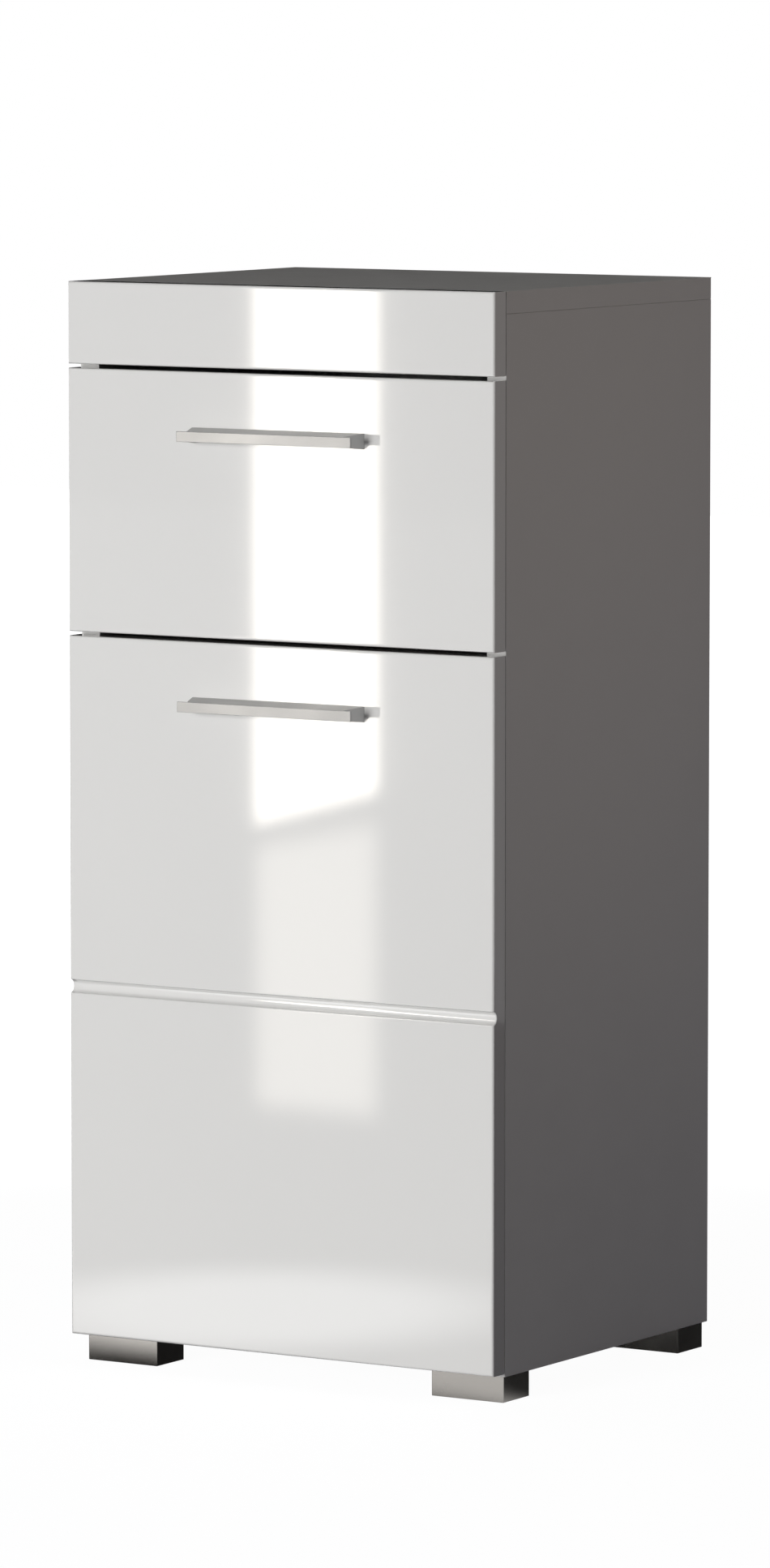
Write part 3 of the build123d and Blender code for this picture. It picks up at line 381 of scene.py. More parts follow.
@dataclass(frozen=True)
class BrushedMetal:
    """Satin metal with fine lines along one direction."""

    name: str
    light: Colour
    dark: Colour
    roughness: tuple[float, float]
    grain: Grain = Grain.ALONG_X
    lines_per_metre: float = 5000.0
    line_depth: float = 0.000006

    def make(self) -> bpy.types.Material:
        """Build the material."""
        paint = Paint(self.name)
        lines = paint.noise(paint.place(self.grain.value), self.lines_per_metre, 4.0, 0.6)
        cloud = paint.noise(paint.place(), 30.0, 2.0)
        paint.set(Base_Color=paint.tint(lines, self.dark, self.light), Roughness=paint.span(cloud, *self.roughness),
                  Metallic=1.0)
        paint.bump(lines, self.line_depth)
        return paint.material


@dataclass(frozen=True)
class PlainMetal:
    """Plated or die-cast metal with a faint mottle."""

    name: str
    colour: Colour
    roughness: tuple[float, float]
    shade: float = 0.86
    mottle_per_metre: float = 400.0
    mottle_depth: float = 0.000005

    def make(self) -> bpy.types.Material:
        """Build the material."""
        paint = Paint(self.name)
        mottle = paint.noise(paint.place(), self.mottle_per_metre, 3.0)
        dark = tuple(self.shade * part for part in self.colour)
        paint.set(Base_Color=paint.tint(mottle, dark, self.colour), Roughness=paint.span(mottle, *self.roughness),
                  Metallic=1.0)
        paint.bump(mottle, self.mottle_depth)
        return paint.material


@dataclass(frozen=True)
class MouldedPlastic:
    """Nylon, paint or clear rubber, with a slight texture."""

    name: str
    colour: Colour
    roughness: float
    shade: float = 0.94
    texture_per_metre: float = 600.0
    texture_depth: float = 0.00002

    def make(self) -> bpy.types.Material:
        """Build the material."""
        paint = Paint(self.name)
        texture = paint.noise(paint.place(), self.texture_per_metre, 2.0)
        dark = tuple(self.shade * part for part in self.colour)
        paint.set(Base_Color=paint.tint(texture, dark, self.colour), Roughness=self.roughness)
        paint.bump(texture, self.texture_depth)
        return paint.material


@dataclass(frozen=True)
class TurnedBeech:
    """Pale beech with its grain along X."""

    name: str = "turned_beech"
    light: Colour = (0.560, 0.380, 0.220)
    dark: Colour = (0.400, 0.250, 0.130)
    roughness: float = 0.6
    grain_depth: float = 0.00005

    def make(self) -> bpy.types.Material:
        """Build the material."""
        paint = Paint(self.name)
        grain = paint.noise(paint.place((0.08, 1.0, 1.0)), 1500.0, 4.0, 0.6)
        paint.set(Base_Color=paint.tint(grain, self.dark, self.light), Roughness=self.roughness)
        paint.bump(grain, self.grain_depth)
        return paint.material


@dataclass(frozen=True)
class Solid:
    """The corners of one closed body of a node."""

    points: tuple[Vector, ...]

    @property
    def low(self) -> Vector:
        """Its lowest corner."""
        return Vector(min(point[axis] for point in self.points) for axis in range(3))

    @property
    def high(self) -> Vector:
        """Its highest corner."""
        return Vector(max(point[axis] for point in self.points) for axis in range(3))

    @property
    def centre(self) -> Vector:
        """The middle of its box."""
        return (self.low + self.high) / 2

    def axis(self, longest: bool) -> int:
        """The axis along which its box is longest, or shortest."""
        spans = self.high - self.low
        return (max if longest else min)(range(3), key=lambda axis: spans[axis])


@dataclass(frozen=True)
class Shaft:
    """Where a pin lies: the outer end of its head, the way it points and its length."""

    head: Vector
    aim: Vector
    length: float

    @classmethod
    def of(cls, solid: Solid, near: float = 0.0003) -> "Shaft":
        """Read the shaft of a solid.

        Args:
            solid: A pin along one of the axes.
            near: How close to an end a corner counts as being on it.

        Returns:
            The shaft, which starts at the broader end.
        """
        axis = solid.axis(longest=True)
        low, high, centre = solid.low, solid.high, solid.centre
        girths = {}
        for end in (low[axis], high[axis]):
            offsets = [point - centre for point in solid.points if abs(point[axis] - end) < near]
            girths[end] = max(math.hypot(*(offset[other] for other in range(3) if other != axis))
                              for offset in offsets)
        head = centre.copy()
        head[axis] = max(girths, key=girths.get)
        aim = (centre - head).normalized()
        return cls(head, aim, high[axis] - low[axis])


@dataclass
class Frame:
    """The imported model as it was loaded."""

    bodies: dict[str, bpy.types.Object]
    nodes: dict[str, bpy.types.Object]
    record: dict

    def slot_of(self, node: str) -> str:
        """The material slot of a node."""
        return next(part["material_slot"] for part in self.record["subparts"] if part["node"] == node)

    def body_of(self, node: str) -> str:
        """The body that a node rides on."""
        return next(body for body, members in self.record["behaviour"]["bodies"].items() if node in members)

    def merged(self, node: str) -> bmesh.types.BMesh:
        """A merged copy of a node's mesh, with its flat faces whole."""
        shape = bmesh.new()
        shape.from_mesh(self.nodes[node].data)
        bmesh.ops.remove_doubles(shape, verts=shape.verts, dist=MERGE_WITHIN)
        bmesh.ops.dissolve_limit(shape, angle_limit=FLAT_WITHIN, verts=shape.verts, edges=shape.edges)
        return shape

    def solids(self, node: str) -> list[Solid]:
        """The closed bodies of a node, in the order of its mesh."""
        shape = self.merged(node)
        seen, found = set(), []
        for first in shape.verts:
            if first in seen:
                continue
            seen.add(first)
            island, queue = [], [first]
            while queue:
                vert = queue.pop()
                island.append(vert.co.copy())
                fresh = [edge.other_vert(vert) for edge in vert.link_edges]
                queue += [other for other in fresh if other not in seen]
                seen.update(fresh)
            found.append(Solid(tuple(island)))
        shape.free()
        return found


@dataclass
class Finishes:
    """Every finish of the cabinet: one a slot, and one a board where its core shows in the bores."""

    frame: Frame
    by_slot: dict[str, bpy.types.Material] = field(default_factory=dict)

    def make(self) -> None:
        """Build the finishes that whole slots share."""
        makers = {
            "beech": TurnedBeech(),
            "foot_metal": BrushedMetal("brushed_foot", (0.38, 0.362, 0.340), (0.318, 0.304, 0.286), (0.22, 0.28)),
            "handle_metal": BrushedMetal("brushed_handle", (0.330, 0.328, 0.325), (0.290, 0.288, 0.286), (0.34, 0.40)),
            "fitting_steel": PlainMetal("plated_steel", (0.62, 0.62, 0.61), (0.25, 0.38)),
            "runner_paint": MouldedPlastic("powder_coat", (0.72, 0.715, 0.70), 0.38),
            "nylon": MouldedPlastic("nylon", (0.70, 0.69, 0.66), 0.45),
            "buffer": MouldedPlastic("clear_buffer", (0.60, 0.60, 0.59), 0.2),
        }
        for slot, maker in makers.items():
            self.by_slot[slot] = maker.make()

    def of(self, node: str) -> bpy.types.Material:
        """The finish of a node."""
        slot = self.frame.slot_of(node)
        if slot in self.by_slot:
            return self.by_slot[slot]
        low, high = (Vector(corner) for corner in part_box(node))
        middle = (low + high) / 2
        makers = {
            "front_lacquer": lambda: GlossLacquer(f"lacquer_{node}", low, high),
            "board_foil": lambda: FoilBoard(f"foil_{node}", low, high),
            "hardboard": lambda: self.hardboard(node, low, high, middle),
        }
        return makers[slot]().make()

    @staticmethod
    def hardboard(node: str, low: Vector, high: Vector, middle: Vector) -> Hardboard:
        """The finish of a thin board, white towards the inside of the cabinet or the drawer."""
        axis = Solid((low, high)).axis(longest=False)
        return Hardboard(f"hardboard_{node}", axis, middle[axis], white_above=axis == 2)


@dataclass(frozen=True)
class PinSizes:
    """Sizes of a turned pin, in metres."""

    shank: float
    head: float
    head_height: float
    head_wall: float
    ease: float
    tip: float
    tip_share: float = 0.3
    pitch: float = 0.0014
    thread_depth: float = 0.0
    flute_depth: float = 0.0
    slot_length: float = 0.0
    slot_width: float = 0.0
    slot_depth: float = 0.0
    around: int = 20

    @classmethod
    def screw(cls, shank: float, head: float, head_height: float, sunk: bool) -> "PinSizes":
        """A cross-headed screw.

        Args:
            shank: Radius of its thread.
            head: Radius of its head.
            head_height: Height of its head.
            sunk: Whether the head is countersunk.

        Returns:
            Its sizes.
        """
        ease = 0.0001 if sunk else 0.4 * head_height
        return cls(shank, head, head_height, 2 * ease if sunk else head_height - 0.00002, ease, shank,
                   thread_depth=0.28 * shank, slot_length=1.15 * head, slot_width=0.24 * head,
                   slot_depth=0.62 * head_height + 0.0003)


class TurnedPins(Board):
    """Geometry nodes that turn a headed, ringed or fluted pin and set one at every point."""

    numbers = {
        "Length": "length", "Shank Radius": "shank", "Head Radius": "head", "Head Height": "head_height",
        "Head Wall": "head_wall", "Ease": "ease", "Tip Length": "tip", "Tip Share": "tip_share",
        "Thread Pitch": "pitch", "Thread Depth": "thread_depth", "Flute Depth": "flute_depth",
        "Slot Length": "slot_length", "Slot Width": "slot_width", "Slot Depth": "slot_depth",
    }
    head_points = 4
    least_step = 0.00001

    def __init__(self) -> None:
        """Build the tree with its named inputs."""
        super().__init__(bpy.data.node_groups.new("turned_pins", "GeometryNodeTree"))
        self.tree.is_modifier = True
        kinds = {"Points": "Geometry", **{name: "Float" for name in self.numbers}, "Around": "Int",
                 "Finish": "Material"}
        self.sockets = {name: self.tree.interface.new_socket(
            name=name, in_out="INPUT", socket_type=f"NodeSocket{kind}").identifier for name, kind in kinds.items()}
        self.tree.interface.new_socket(name="Pins", in_out="OUTPUT", socket_type="NodeSocketGeometry")
        self.given = self.add("NodeGroupInput").outputs
        pin = self.slotted(self.turned())
        self.set_out(pin)

    def pick(self, index: bpy.types.NodeSocket, values: list[Value]) -> bpy.types.NodeSocket:
        """Choose one of several values by an index.

        Args:
            index: The index field.
            values: The values, from index 0 up.

        Returns:
            The value socket.
        """
        node = self.add("GeometryNodeIndexSwitch", data_type="FLOAT")
        while len(node.index_switch_items) < len(values):
            node.index_switch_items.new()
        self.feed(node.inputs["Index"], index)
        for number, value in enumerate(values):
            self.feed(node.inputs[1 + number], value)
        return node.outputs[0]

    def outline(self) -> tuple[bpy.types.NodeSocket, bpy.types.NodeSocket, bpy.types.NodeSocket]:
        """How many points the pin's outline has, and how far along and how far out each one lies."""
        given = self.given
        shank, head, ease = given["Shank Radius"], given["Head Radius"], given["Ease"]
        start = self.math("ADD", given["Head Height"], self.least_step)
        body = self.math("SUBTRACT", self.math("SUBTRACT", given["Length"], given["Tip Length"]), start)
        turns = self.math("MAXIMUM", self.math("FLOOR", self.math("DIVIDE", body, given["Thread Pitch"])), 1.0)
        steps = self.math("MULTIPLY", turns, 2.0)
        count = self.math("ADD", steps, self.head_points + 2.0)
        index = self.add("GeometryNodeInputIndex").outputs[0]
        past = self.math("SUBTRACT", index, float(self.head_points))
        along = self.math("ADD", start, self.math("MULTIPLY", past, self.math("DIVIDE", body, steps)))
        root = self.math("MULTIPLY", given["Thread Depth"], self.math("MODULO", past, 2.0))
        stage = self.math("MINIMUM", index, float(self.head_points))
        last = self.math("GREATER_THAN", index, self.math("SUBTRACT", count, 1.5))
        reach = self.pick(stage, [0.0, ease, given["Head Wall"], given["Head Height"], along])
        girth = self.pick(stage, [self.math("SUBTRACT", head, ease), head, head, shank,
                                  self.math("SUBTRACT", shank, root)])
        tip = self.math("MULTIPLY", shank, given["Tip Share"])
        return count, self.blend(last, reach, given["Length"]), self.blend(last, girth, tip)

    def turned(self) -> bpy.types.NodeSocket:
        """The pin along Z, its head's end at the origin."""
        count, reach, girth = self.outline()
        line = self.add("GeometryNodeMeshLine", mode="OFFSET")
        self.feed(line.inputs["Count"], count)
        at = self.add("ShaderNodeCombineXYZ")
        self.feed(at.inputs["Z"], reach)
        shaped = self.add("GeometryNodeSetPosition")
        self.feed(shaped.inputs["Geometry"], line.outputs["Mesh"])
        self.feed(shaped.inputs["Position"], at.outputs[0])
        kept = self.add("GeometryNodeCaptureAttribute")
        kept.capture_items.new("FLOAT", "Girth")
        self.feed(kept.inputs["Geometry"], shaped.outputs["Geometry"])
        self.feed(kept.inputs["Girth"], girth)
        rail = self.add("GeometryNodeMeshToCurve")
        self.feed(rail.inputs[0], kept.outputs["Geometry"])
        ring = self.add("GeometryNodeCurvePrimitiveCircle")
        self.feed(ring.inputs["Resolution"], self.given["Around"])
        self.feed(ring.inputs["Radius"], 1.0)
        index = self.add("GeometryNodeInputIndex").outputs[0]
        flute = self.math("MULTIPLY", self.math("MODULO", index, 2.0),
                          self.math("DIVIDE", self.given["Flute Depth"], self.given["Shank Radius"]))
        fluted = self.vector("SCALE", self.add("GeometryNodeInputPosition").outputs[0])
        self.feed(fluted.inputs["Scale"], self.math("SUBTRACT", 1.0, flute))
        section = self.add("GeometryNodeSetPosition")
        self.feed(section.inputs["Geometry"], ring.outputs["Curve"])
        self.feed(section.inputs["Position"], fluted.outputs[0])
        sweep = self.add("GeometryNodeCurveToMesh")
        self.feed(sweep.inputs["Curve"], rail.outputs[0])
        self.feed(sweep.inputs["Profile Curve"], section.outputs["Geometry"])
        self.feed(sweep.inputs["Scale"], kept.outputs["Girth"])
        self.feed(sweep.inputs["Fill Caps"], True)
        return sweep.outputs["Mesh"]

    def slotted(self, pin: bpy.types.NodeSocket) -> bpy.types.NodeSocket:
        """The pin with a cross in its head, where the slot has a depth."""
        given = self.given
        high = self.math("MULTIPLY", given["Slot Depth"], 2.0)
        cut = self.add("GeometryNodeMeshBoolean", operation="DIFFERENCE", solver="EXACT")
        self.feed(cut.inputs["Mesh 1"], pin)
        for spans in ((given["Slot Length"], given["Slot Width"]), (given["Slot Width"], given["Slot Length"])):
            size = self.add("ShaderNodeCombineXYZ")
            for axis, span in zip("XYZ", (*spans, high)):
                self.feed(size.inputs[axis], span)
            bar = self.add("GeometryNodeMeshCube")
            self.feed(bar.inputs["Size"], size.outputs[0])
            self.feed(cut.inputs["Mesh 2"], bar.outputs["Mesh"])
        either = self.add("GeometryNodeSwitch", input_type="GEOMETRY")
        self.feed(either.inputs["Switch"], self.math("GREATER_THAN", given["Slot Depth"], 0.0))
        self.feed(either.inputs["False"], pin)
        self.feed(either.inputs["True"], cut.outputs["Mesh"])
        return either.outputs[0]

    def set_out(self, pin: bpy.types.NodeSocket) -> None:
        """Set the pin at every point, turned the way that the point aims."""
        aim = self.add("GeometryNodeInputNamedAttribute", data_type="FLOAT_VECTOR")
        self.feed(aim.inputs["Name"], "aim")
        turn = self.add("FunctionNodeAlignRotationToVector", axis="Z")
        self.feed(turn.inputs["Vector"], aim.outputs["Attribute"])
        spread = self.add("GeometryNodeInstanceOnPoints")
        self.feed(spread.inputs["Points"], self.given["Points"])
        self.feed(spread.inputs["Instance"], pin)
        self.feed(spread.inputs["Rotation"], turn.outputs[0])
        real = self.add("GeometryNodeRealizeInstances")
        self.feed(real.inputs[0], spread.outputs[0])
        dressed = self.add("GeometryNodeSetMaterial")
        self.feed(dressed.inputs["Geometry"], real.outputs[0])
        self.feed(dressed.inputs["Material"], self.given["Finish"])
        self.feed(self.add("NodeGroupOutput").inputs[0], dressed.outputs[0])

    def make(self, name: str, shafts: list[Shaft], sizes: PinSizes, finish: bpy.types.Material) -> bpy.types.Mesh:
        """Turn the pins of one group.

        Args:
            name: Name of the group.
            shafts: Where the pins lie, all of one length.
            sizes: Their sizes.
            finish: Their finish.

        Returns:
            One plain mesh with all of them.
        """
        points = bpy.data.meshes.new(name)
        points.from_pydata([shaft.head for shaft in shafts], [], [])
        aims = points.attributes.new("aim", "FLOAT_VECTOR", "POINT")
        for item, shaft in zip(aims.data, shafts):
            item.vector = shaft.aim
        carrier = bpy.data.objects.new(name, points)
        bpy.context.scene.collection.objects.link(carrier)
        modifier = carrier.modifiers.new("pins", "NODES")
        modifier.node_group = self.tree
        for key, value in self.numbers.items():
            modifier[self.sockets[key]] = shafts[0].length if value == "length" else getattr(sizes, value)
        modifier[self.sockets["Around"]] = sizes.around
        modifier[self.sockets["Finish"]] = finish
        graph = bpy.context.evaluated_depsgraph_get()
        mesh = bpy.data.meshes.new_from_object(carrier.evaluated_get(graph))
        mesh.name = name
        if "aim" in mesh.attributes:
            mesh.attributes.remove(mesh.attributes["aim"])
        bpy.data.objects.remove(carrier)
        shape = bmesh.new()
        shape.from_mesh(mesh)
        bmesh.ops.recalc_face_normals(shape, faces=shape.faces)
        shape.to_mesh(mesh)
        shape.free()
        return mesh


@dataclass
class SubAssembly:
    """What every sub-assembly works with, and how it dresses its pieces."""

    frame: Frame
    finishes: Finishes
    pins: TurnedPins
    small_sheet: bool = False

    def shade(self, mesh: bpy.types.Mesh) -> None:
        """Shade a mesh round, with its creases sharp."""
        shape = bmesh.new()
        shape.from_mesh(mesh)
        for face in shape.faces:
            face.smooth = True
        for edge in shape.edges:
            edge.smooth = len(edge.link_faces) == 2 and edge.calc_face_angle(0.0) < CREASE
        shape.to_mesh(mesh)
        shape.free()

    def hand_over(self, name: str, mesh: bpy.types.Mesh, body: str, slot: str, *replaced: str) -> bpy.types.Object:
        """Make a finished piece of a mesh.

        Args:
            name: Name of the piece.
            mesh: Its mesh, with its material.
            body: The body that it rides on.
            slot: The record's material slot; not used.
            replaced: The nodes that it stands for.

        Returns:
            The piece.
        """
        self.shade(mesh)
        piece = bpy.data.objects.new(name, mesh)
        bpy.context.scene.collection.objects.link(piece)
        weight = piece.modifiers.new("rounding", "WEIGHTED_NORMAL")
        weight.keep_sharp = True
        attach(piece, body)
        if replaced:
            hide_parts(*replaced)
        log.info("%s: %s, %d faces", type(self).__name__, name, len(mesh.polygons))
        return piece

    def eased(self, node: str, ease: float, least: float) -> bpy.types.Mesh:
        """A copy of a node with its sharp edges rounded.

        Args:
            node: The node.
            ease: How far the rounding reaches, or 0 for none.
            least: Edges shorter than this stay sharp.

        Returns:
            The mesh, with the node's finish.
        """
        shape = self.frame.merged(node)
        edges = [edge for edge in shape.edges if len(edge.link_faces) == 2 and edge.calc_length() > least
                 and edge.calc_face_angle(0.0) > SHARP]
        if ease > 0:
            bmesh.ops.bevel(shape, geom=edges, offset=ease, segments=2, profile=0.5, affect="EDGES",
                            clamp_overlap=self.small_sheet)
        mesh = bpy.data.meshes.new(f"{node}_dressed")
        shape.to_mesh(mesh)
        shape.free()
        mesh.materials.append(self.finishes.of(node))
        return mesh

    def dress(self, node: str, ease: float = 0.0, least: float = 0.0) -> bpy.types.Object:
        """Stand an eased copy in for a node.

        Args:
            node: The node.
            ease: How far its edges are rounded.
            least: Edges shorter than this stay sharp.

        Returns:
            The piece.
        """
        return self.hand_over(f"{node}_dressed", self.eased(node, ease, least), self.frame.body_of(node),
                              self.frame.slot_of(node), node)

    def turn(self, node: str, sizes: PinSizes) -> bpy.types.Object:
        """Stand turned pins in for a node of fasteners.

        Args:
            node: The node.
            sizes: Sizes of one pin.

        Returns:
            The piece.
        """
        shafts = [Shaft.of(solid) for solid in self.frame.solids(node)]
        mesh = self.pins.make(f"{node}_turned", shafts, sizes, self.finishes.of(node))
        return self.hand_over(f"{node}_turned", mesh, self.frame.body_of(node), self.frame.slot_of(node), node)


@dataclass
class Carcass(SubAssembly):
    """Boards, back, shelf and the fixings that hold them."""

    boards: tuple[str, ...] = ("top_panel", "side_panel_left", "side_panel_right", "bottom_panel", "divider_panel",
                               "fascia_rail", "shelf")
    board_ease: float = 0.0006
    board_least: float = 0.012
    fascia_screw: PinSizes = PinSizes.screw(0.0020, 0.0038, 0.0022, sunk=True)
    nail: PinSizes = PinSizes(0.0008, 0.0018, 0.0008, 0.00078, 0.0002, 0.0008, around=12)
    dowel: PinSizes = PinSizes(0.0040, 0.0040, 0.0012, 0.0011, 0.0010, 0.0010, tip_share=0.75, pitch=0.010,
                               flute_depth=0.00035, around=36)

    def build(self) -> None:
        """Dress the carcass."""
        for node in self.boards:
            self.dress(node, self.board_ease, self.board_least)
        self.dress("back_panel")
        self.dress("shelf_pins")
        self.dress("cam_bolts")
        self.turn("fascia_screws", self.fascia_screw)
        self.turn("back_nails", self.nail)
        self.turn("dowels", self.dowel)


@dataclass
class CamLocks(SubAssembly):
    """Cam locks with a cross and an arrow on the face that shows."""

    cross_length: float = 0.0085
    cross_width: float = 0.0016
    cross_depth: float = 0.0026
    arrow_width: float = 0.0014
    arrow_length: float = 0.0022
    arrow_depth: float = 0.0006
    rim_ease: float = 0.0003
    rim_least: float = 0.0

    def faces(self, node: str) -> list[tuple[Vector, int]]:
        """The middle of each cam's visible face, and the axis that the face looks along."""
        found = []
        for solid in self.frame.solids(node):
            axis = solid.axis(longest=False)
            centre = solid.centre
            inward = -math.copysign(1.0, centre.x)
            side = (inward, 1.0, -1.0)[axis]
            centre[axis] = solid.high[axis] if side > 0 else solid.low[axis]
            found.append((centre, axis))
        return found

    def cutters(self, node: str) -> bpy.types.Mesh:
        """Bars that cut the crosses and the arrows."""
        shape = bmesh.new()
        for centre, axis in self.faces(node):
            flat = [other for other in range(3) if other != axis]
            bars = [((self.cross_length, self.cross_width), self.cross_depth, 0.0),
                    ((self.cross_width, self.cross_length), self.cross_depth, 0.0),
                    ((self.arrow_length, self.arrow_width), self.arrow_depth, self.cross_length * 0.68)]
            for spans, depth, shift in bars:
                size = Vector((0.0, 0.0, 0.0))
                size[axis] = 2 * depth
                size[flat[0]], size[flat[1]] = spans
                at = centre.copy()
                at[flat[0]] += shift
                bmesh.ops.create_cube(shape, size=1.0, matrix=Matrix.LocRotScale(at, None, size))
        mesh = bpy.data.meshes.new(f"{node}_cutters")
        shape.to_mesh(mesh)
        shape.free()
        return mesh

    def build(self) -> None:
        """Cut the crosses into both groups of cams."""
        for node in ("cam_locks", "drawer_cam_locks"):
            plain = bpy.data.objects.new(node, self.eased(node, 0.0, 0.0))
            tool = bpy.data.objects.new(f"{node}_tool", self.cutters(node))
            for item in (plain, tool):
                bpy.context.scene.collection.objects.link(item)
            cut = plain.modifiers.new("cross", "BOOLEAN")
            cut.operation = "DIFFERENCE"
            cut.solver = "EXACT"
            cut.use_self = True
            cut.object = tool
            graph = bpy.context.evaluated_depsgraph_get()
            mesh = bpy.data.meshes.new_from_object(plain.evaluated_get(graph))
            mesh.name = f"{node}_crossed"
            for item in (plain, tool):
                bpy.data.objects.remove(item)
            self.hand_over(f"{node}_crossed", mesh, self.frame.body_of(node), self.frame.slot_of(node), node)


@dataclass
class Feet(SubAssembly):
    """Four block feet with their screws."""

    ends: tuple[str, ...] = ("front_left", "front_right", "rear_left", "rear_right")
    screw: PinSizes = PinSizes.screw(0.0020, 0.0038, 0.0022, sunk=True)

    def build(self) -> None:
        """Dress the feet."""
        for end in self.ends:
            self.dress(f"foot_{end}")
        self.turn("foot_screws", self.screw)


@dataclass
class Fronts(SubAssembly):
    """Fascia, drawer front and door, with their buffers."""

    panels: tuple[str, ...] = ("fascia_panel", "drawer_front", "door_panel")
    back_ease: float = 0.0003
    back_least: float = 0.020
    buffer_ease: float = 0.0002

    def build(self) -> None:
        """Dress the fronts."""
        for node in self.panels:
            self.dress(node, self.back_ease, self.back_least)
        for node in ("drawer_buffers", "door_buffers"):
            self.dress(node, self.buffer_ease)


@dataclass
class Handles(SubAssembly):
    """Cast bar handles and the screws that hold them."""

    edge_ease: float = 0.0002
    edge_least: float = 0.003
    screw: PinSizes = PinSizes.screw(0.0020, 0.0040, 0.0024, sunk=False)

    def build(self) -> None:
        """Dress the handles."""
        for front in ("drawer", "door"):
            self.dress(f"{front}_handle", self.edge_ease, self.edge_least)
            self.turn(f"{front}_handle_screws", self.screw)


@dataclass
class DrawerBox(SubAssembly):
    """Sides, back and bottom of the drawer."""

    ease: float = 0.0003
    least: float = 0.012
    screw: PinSizes = PinSizes.screw(0.0017, 0.0030, 0.0010, sunk=True)

    def build(self) -> None:
        """Dress the drawer box."""
        for node in ("drawer_side_left", "drawer_side_right", "drawer_back"):
            self.dress(node, self.ease, self.least)
        self.dress("drawer_bottom")
        self.dress("drawer_cam_bolts")
        self.turn("drawer_back_screws", self.screw)


@dataclass
class Runners(SubAssembly):
    """Painted rails, nylon rollers, their axles and screws."""

    small_sheet: bool = True
    rail_ease: float = 0.00015
    rail_least: float = 0.002
    roller_ease: float = 0.0003
    screw: PinSizes = PinSizes.screw(0.0017, 0.0030, 0.0010, sunk=False)

    def build(self) -> None:
        """Dress the runners."""
        for owner in ("cabinet", "drawer"):
            for side in ("left", "right"):
                self.dress(f"{owner}_rail_{side}", self.rail_ease, self.rail_least)
                self.dress(f"{owner}_roller_{side}", self.roller_ease)
            self.dress(f"{owner}_roller_axles")
            self.turn(f"{owner}_rail_screws", self.screw)


@dataclass
class Hinges(SubAssembly):
    """Two concealed hinges with their pins and screws."""

    small_sheet: bool = True
    sheet_ease: float = 0.00015
    sheet_least: float = 0.002
    small_screw: PinSizes = PinSizes.screw(0.0017, 0.0030, 0.0010, sunk=False)
    arm_screw: PinSizes = PinSizes.screw(0.0030, 0.0040, 0.0018, sunk=False)
    adjuster: PinSizes = PinSizes(0.0024, 0.0024, 0.0004, 0.00035, 0.0002, 0.0003, tip_share=0.8,
                                  slot_length=0.0034, slot_width=0.0007, slot_depth=0.0012)
    adjuster_length: float = 0.0030
    adjuster_proud: float = 0.0003
    adjuster_from_rear: float = 0.0220

    def adjusters(self) -> None:
        """The side-adjusting screw that shows in the back of each arm."""
        shafts = []
        for which in ("upper", "lower"):
            low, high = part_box(f"hinge_arm_{which}")
            head = Vector((high[0] + self.adjuster_proud, high[1] - self.adjuster_from_rear, (low[2] + high[2]) / 2))
            shafts.append(Shaft(head, Vector((-1.0, 0.0, 0.0)), self.adjuster_length))
        mesh = self.pins.make("hinge_adjusters", shafts, self.adjuster, self.finishes.by_slot["fitting_steel"])
        self.hand_over("hinge_adjusters", mesh, "carcass", "fitting_steel")

    def build(self) -> None:
        """Dress the hinges."""
        for which in ("upper", "lower"):
            for piece in ("cup", "link", "arm", "plate"):
                self.dress(f"hinge_{piece}_{which}", self.sheet_ease, self.sheet_least)
        self.turn("hinge_cup_screws", self.small_screw)
        self.turn("hinge_plate_screws", self.small_screw)
        self.turn("hinge_arm_screws", self.arm_screw)
        self.dress("hinge_arm_pins")
        self.dress("hinge_cup_pins")
        self.adjusters()


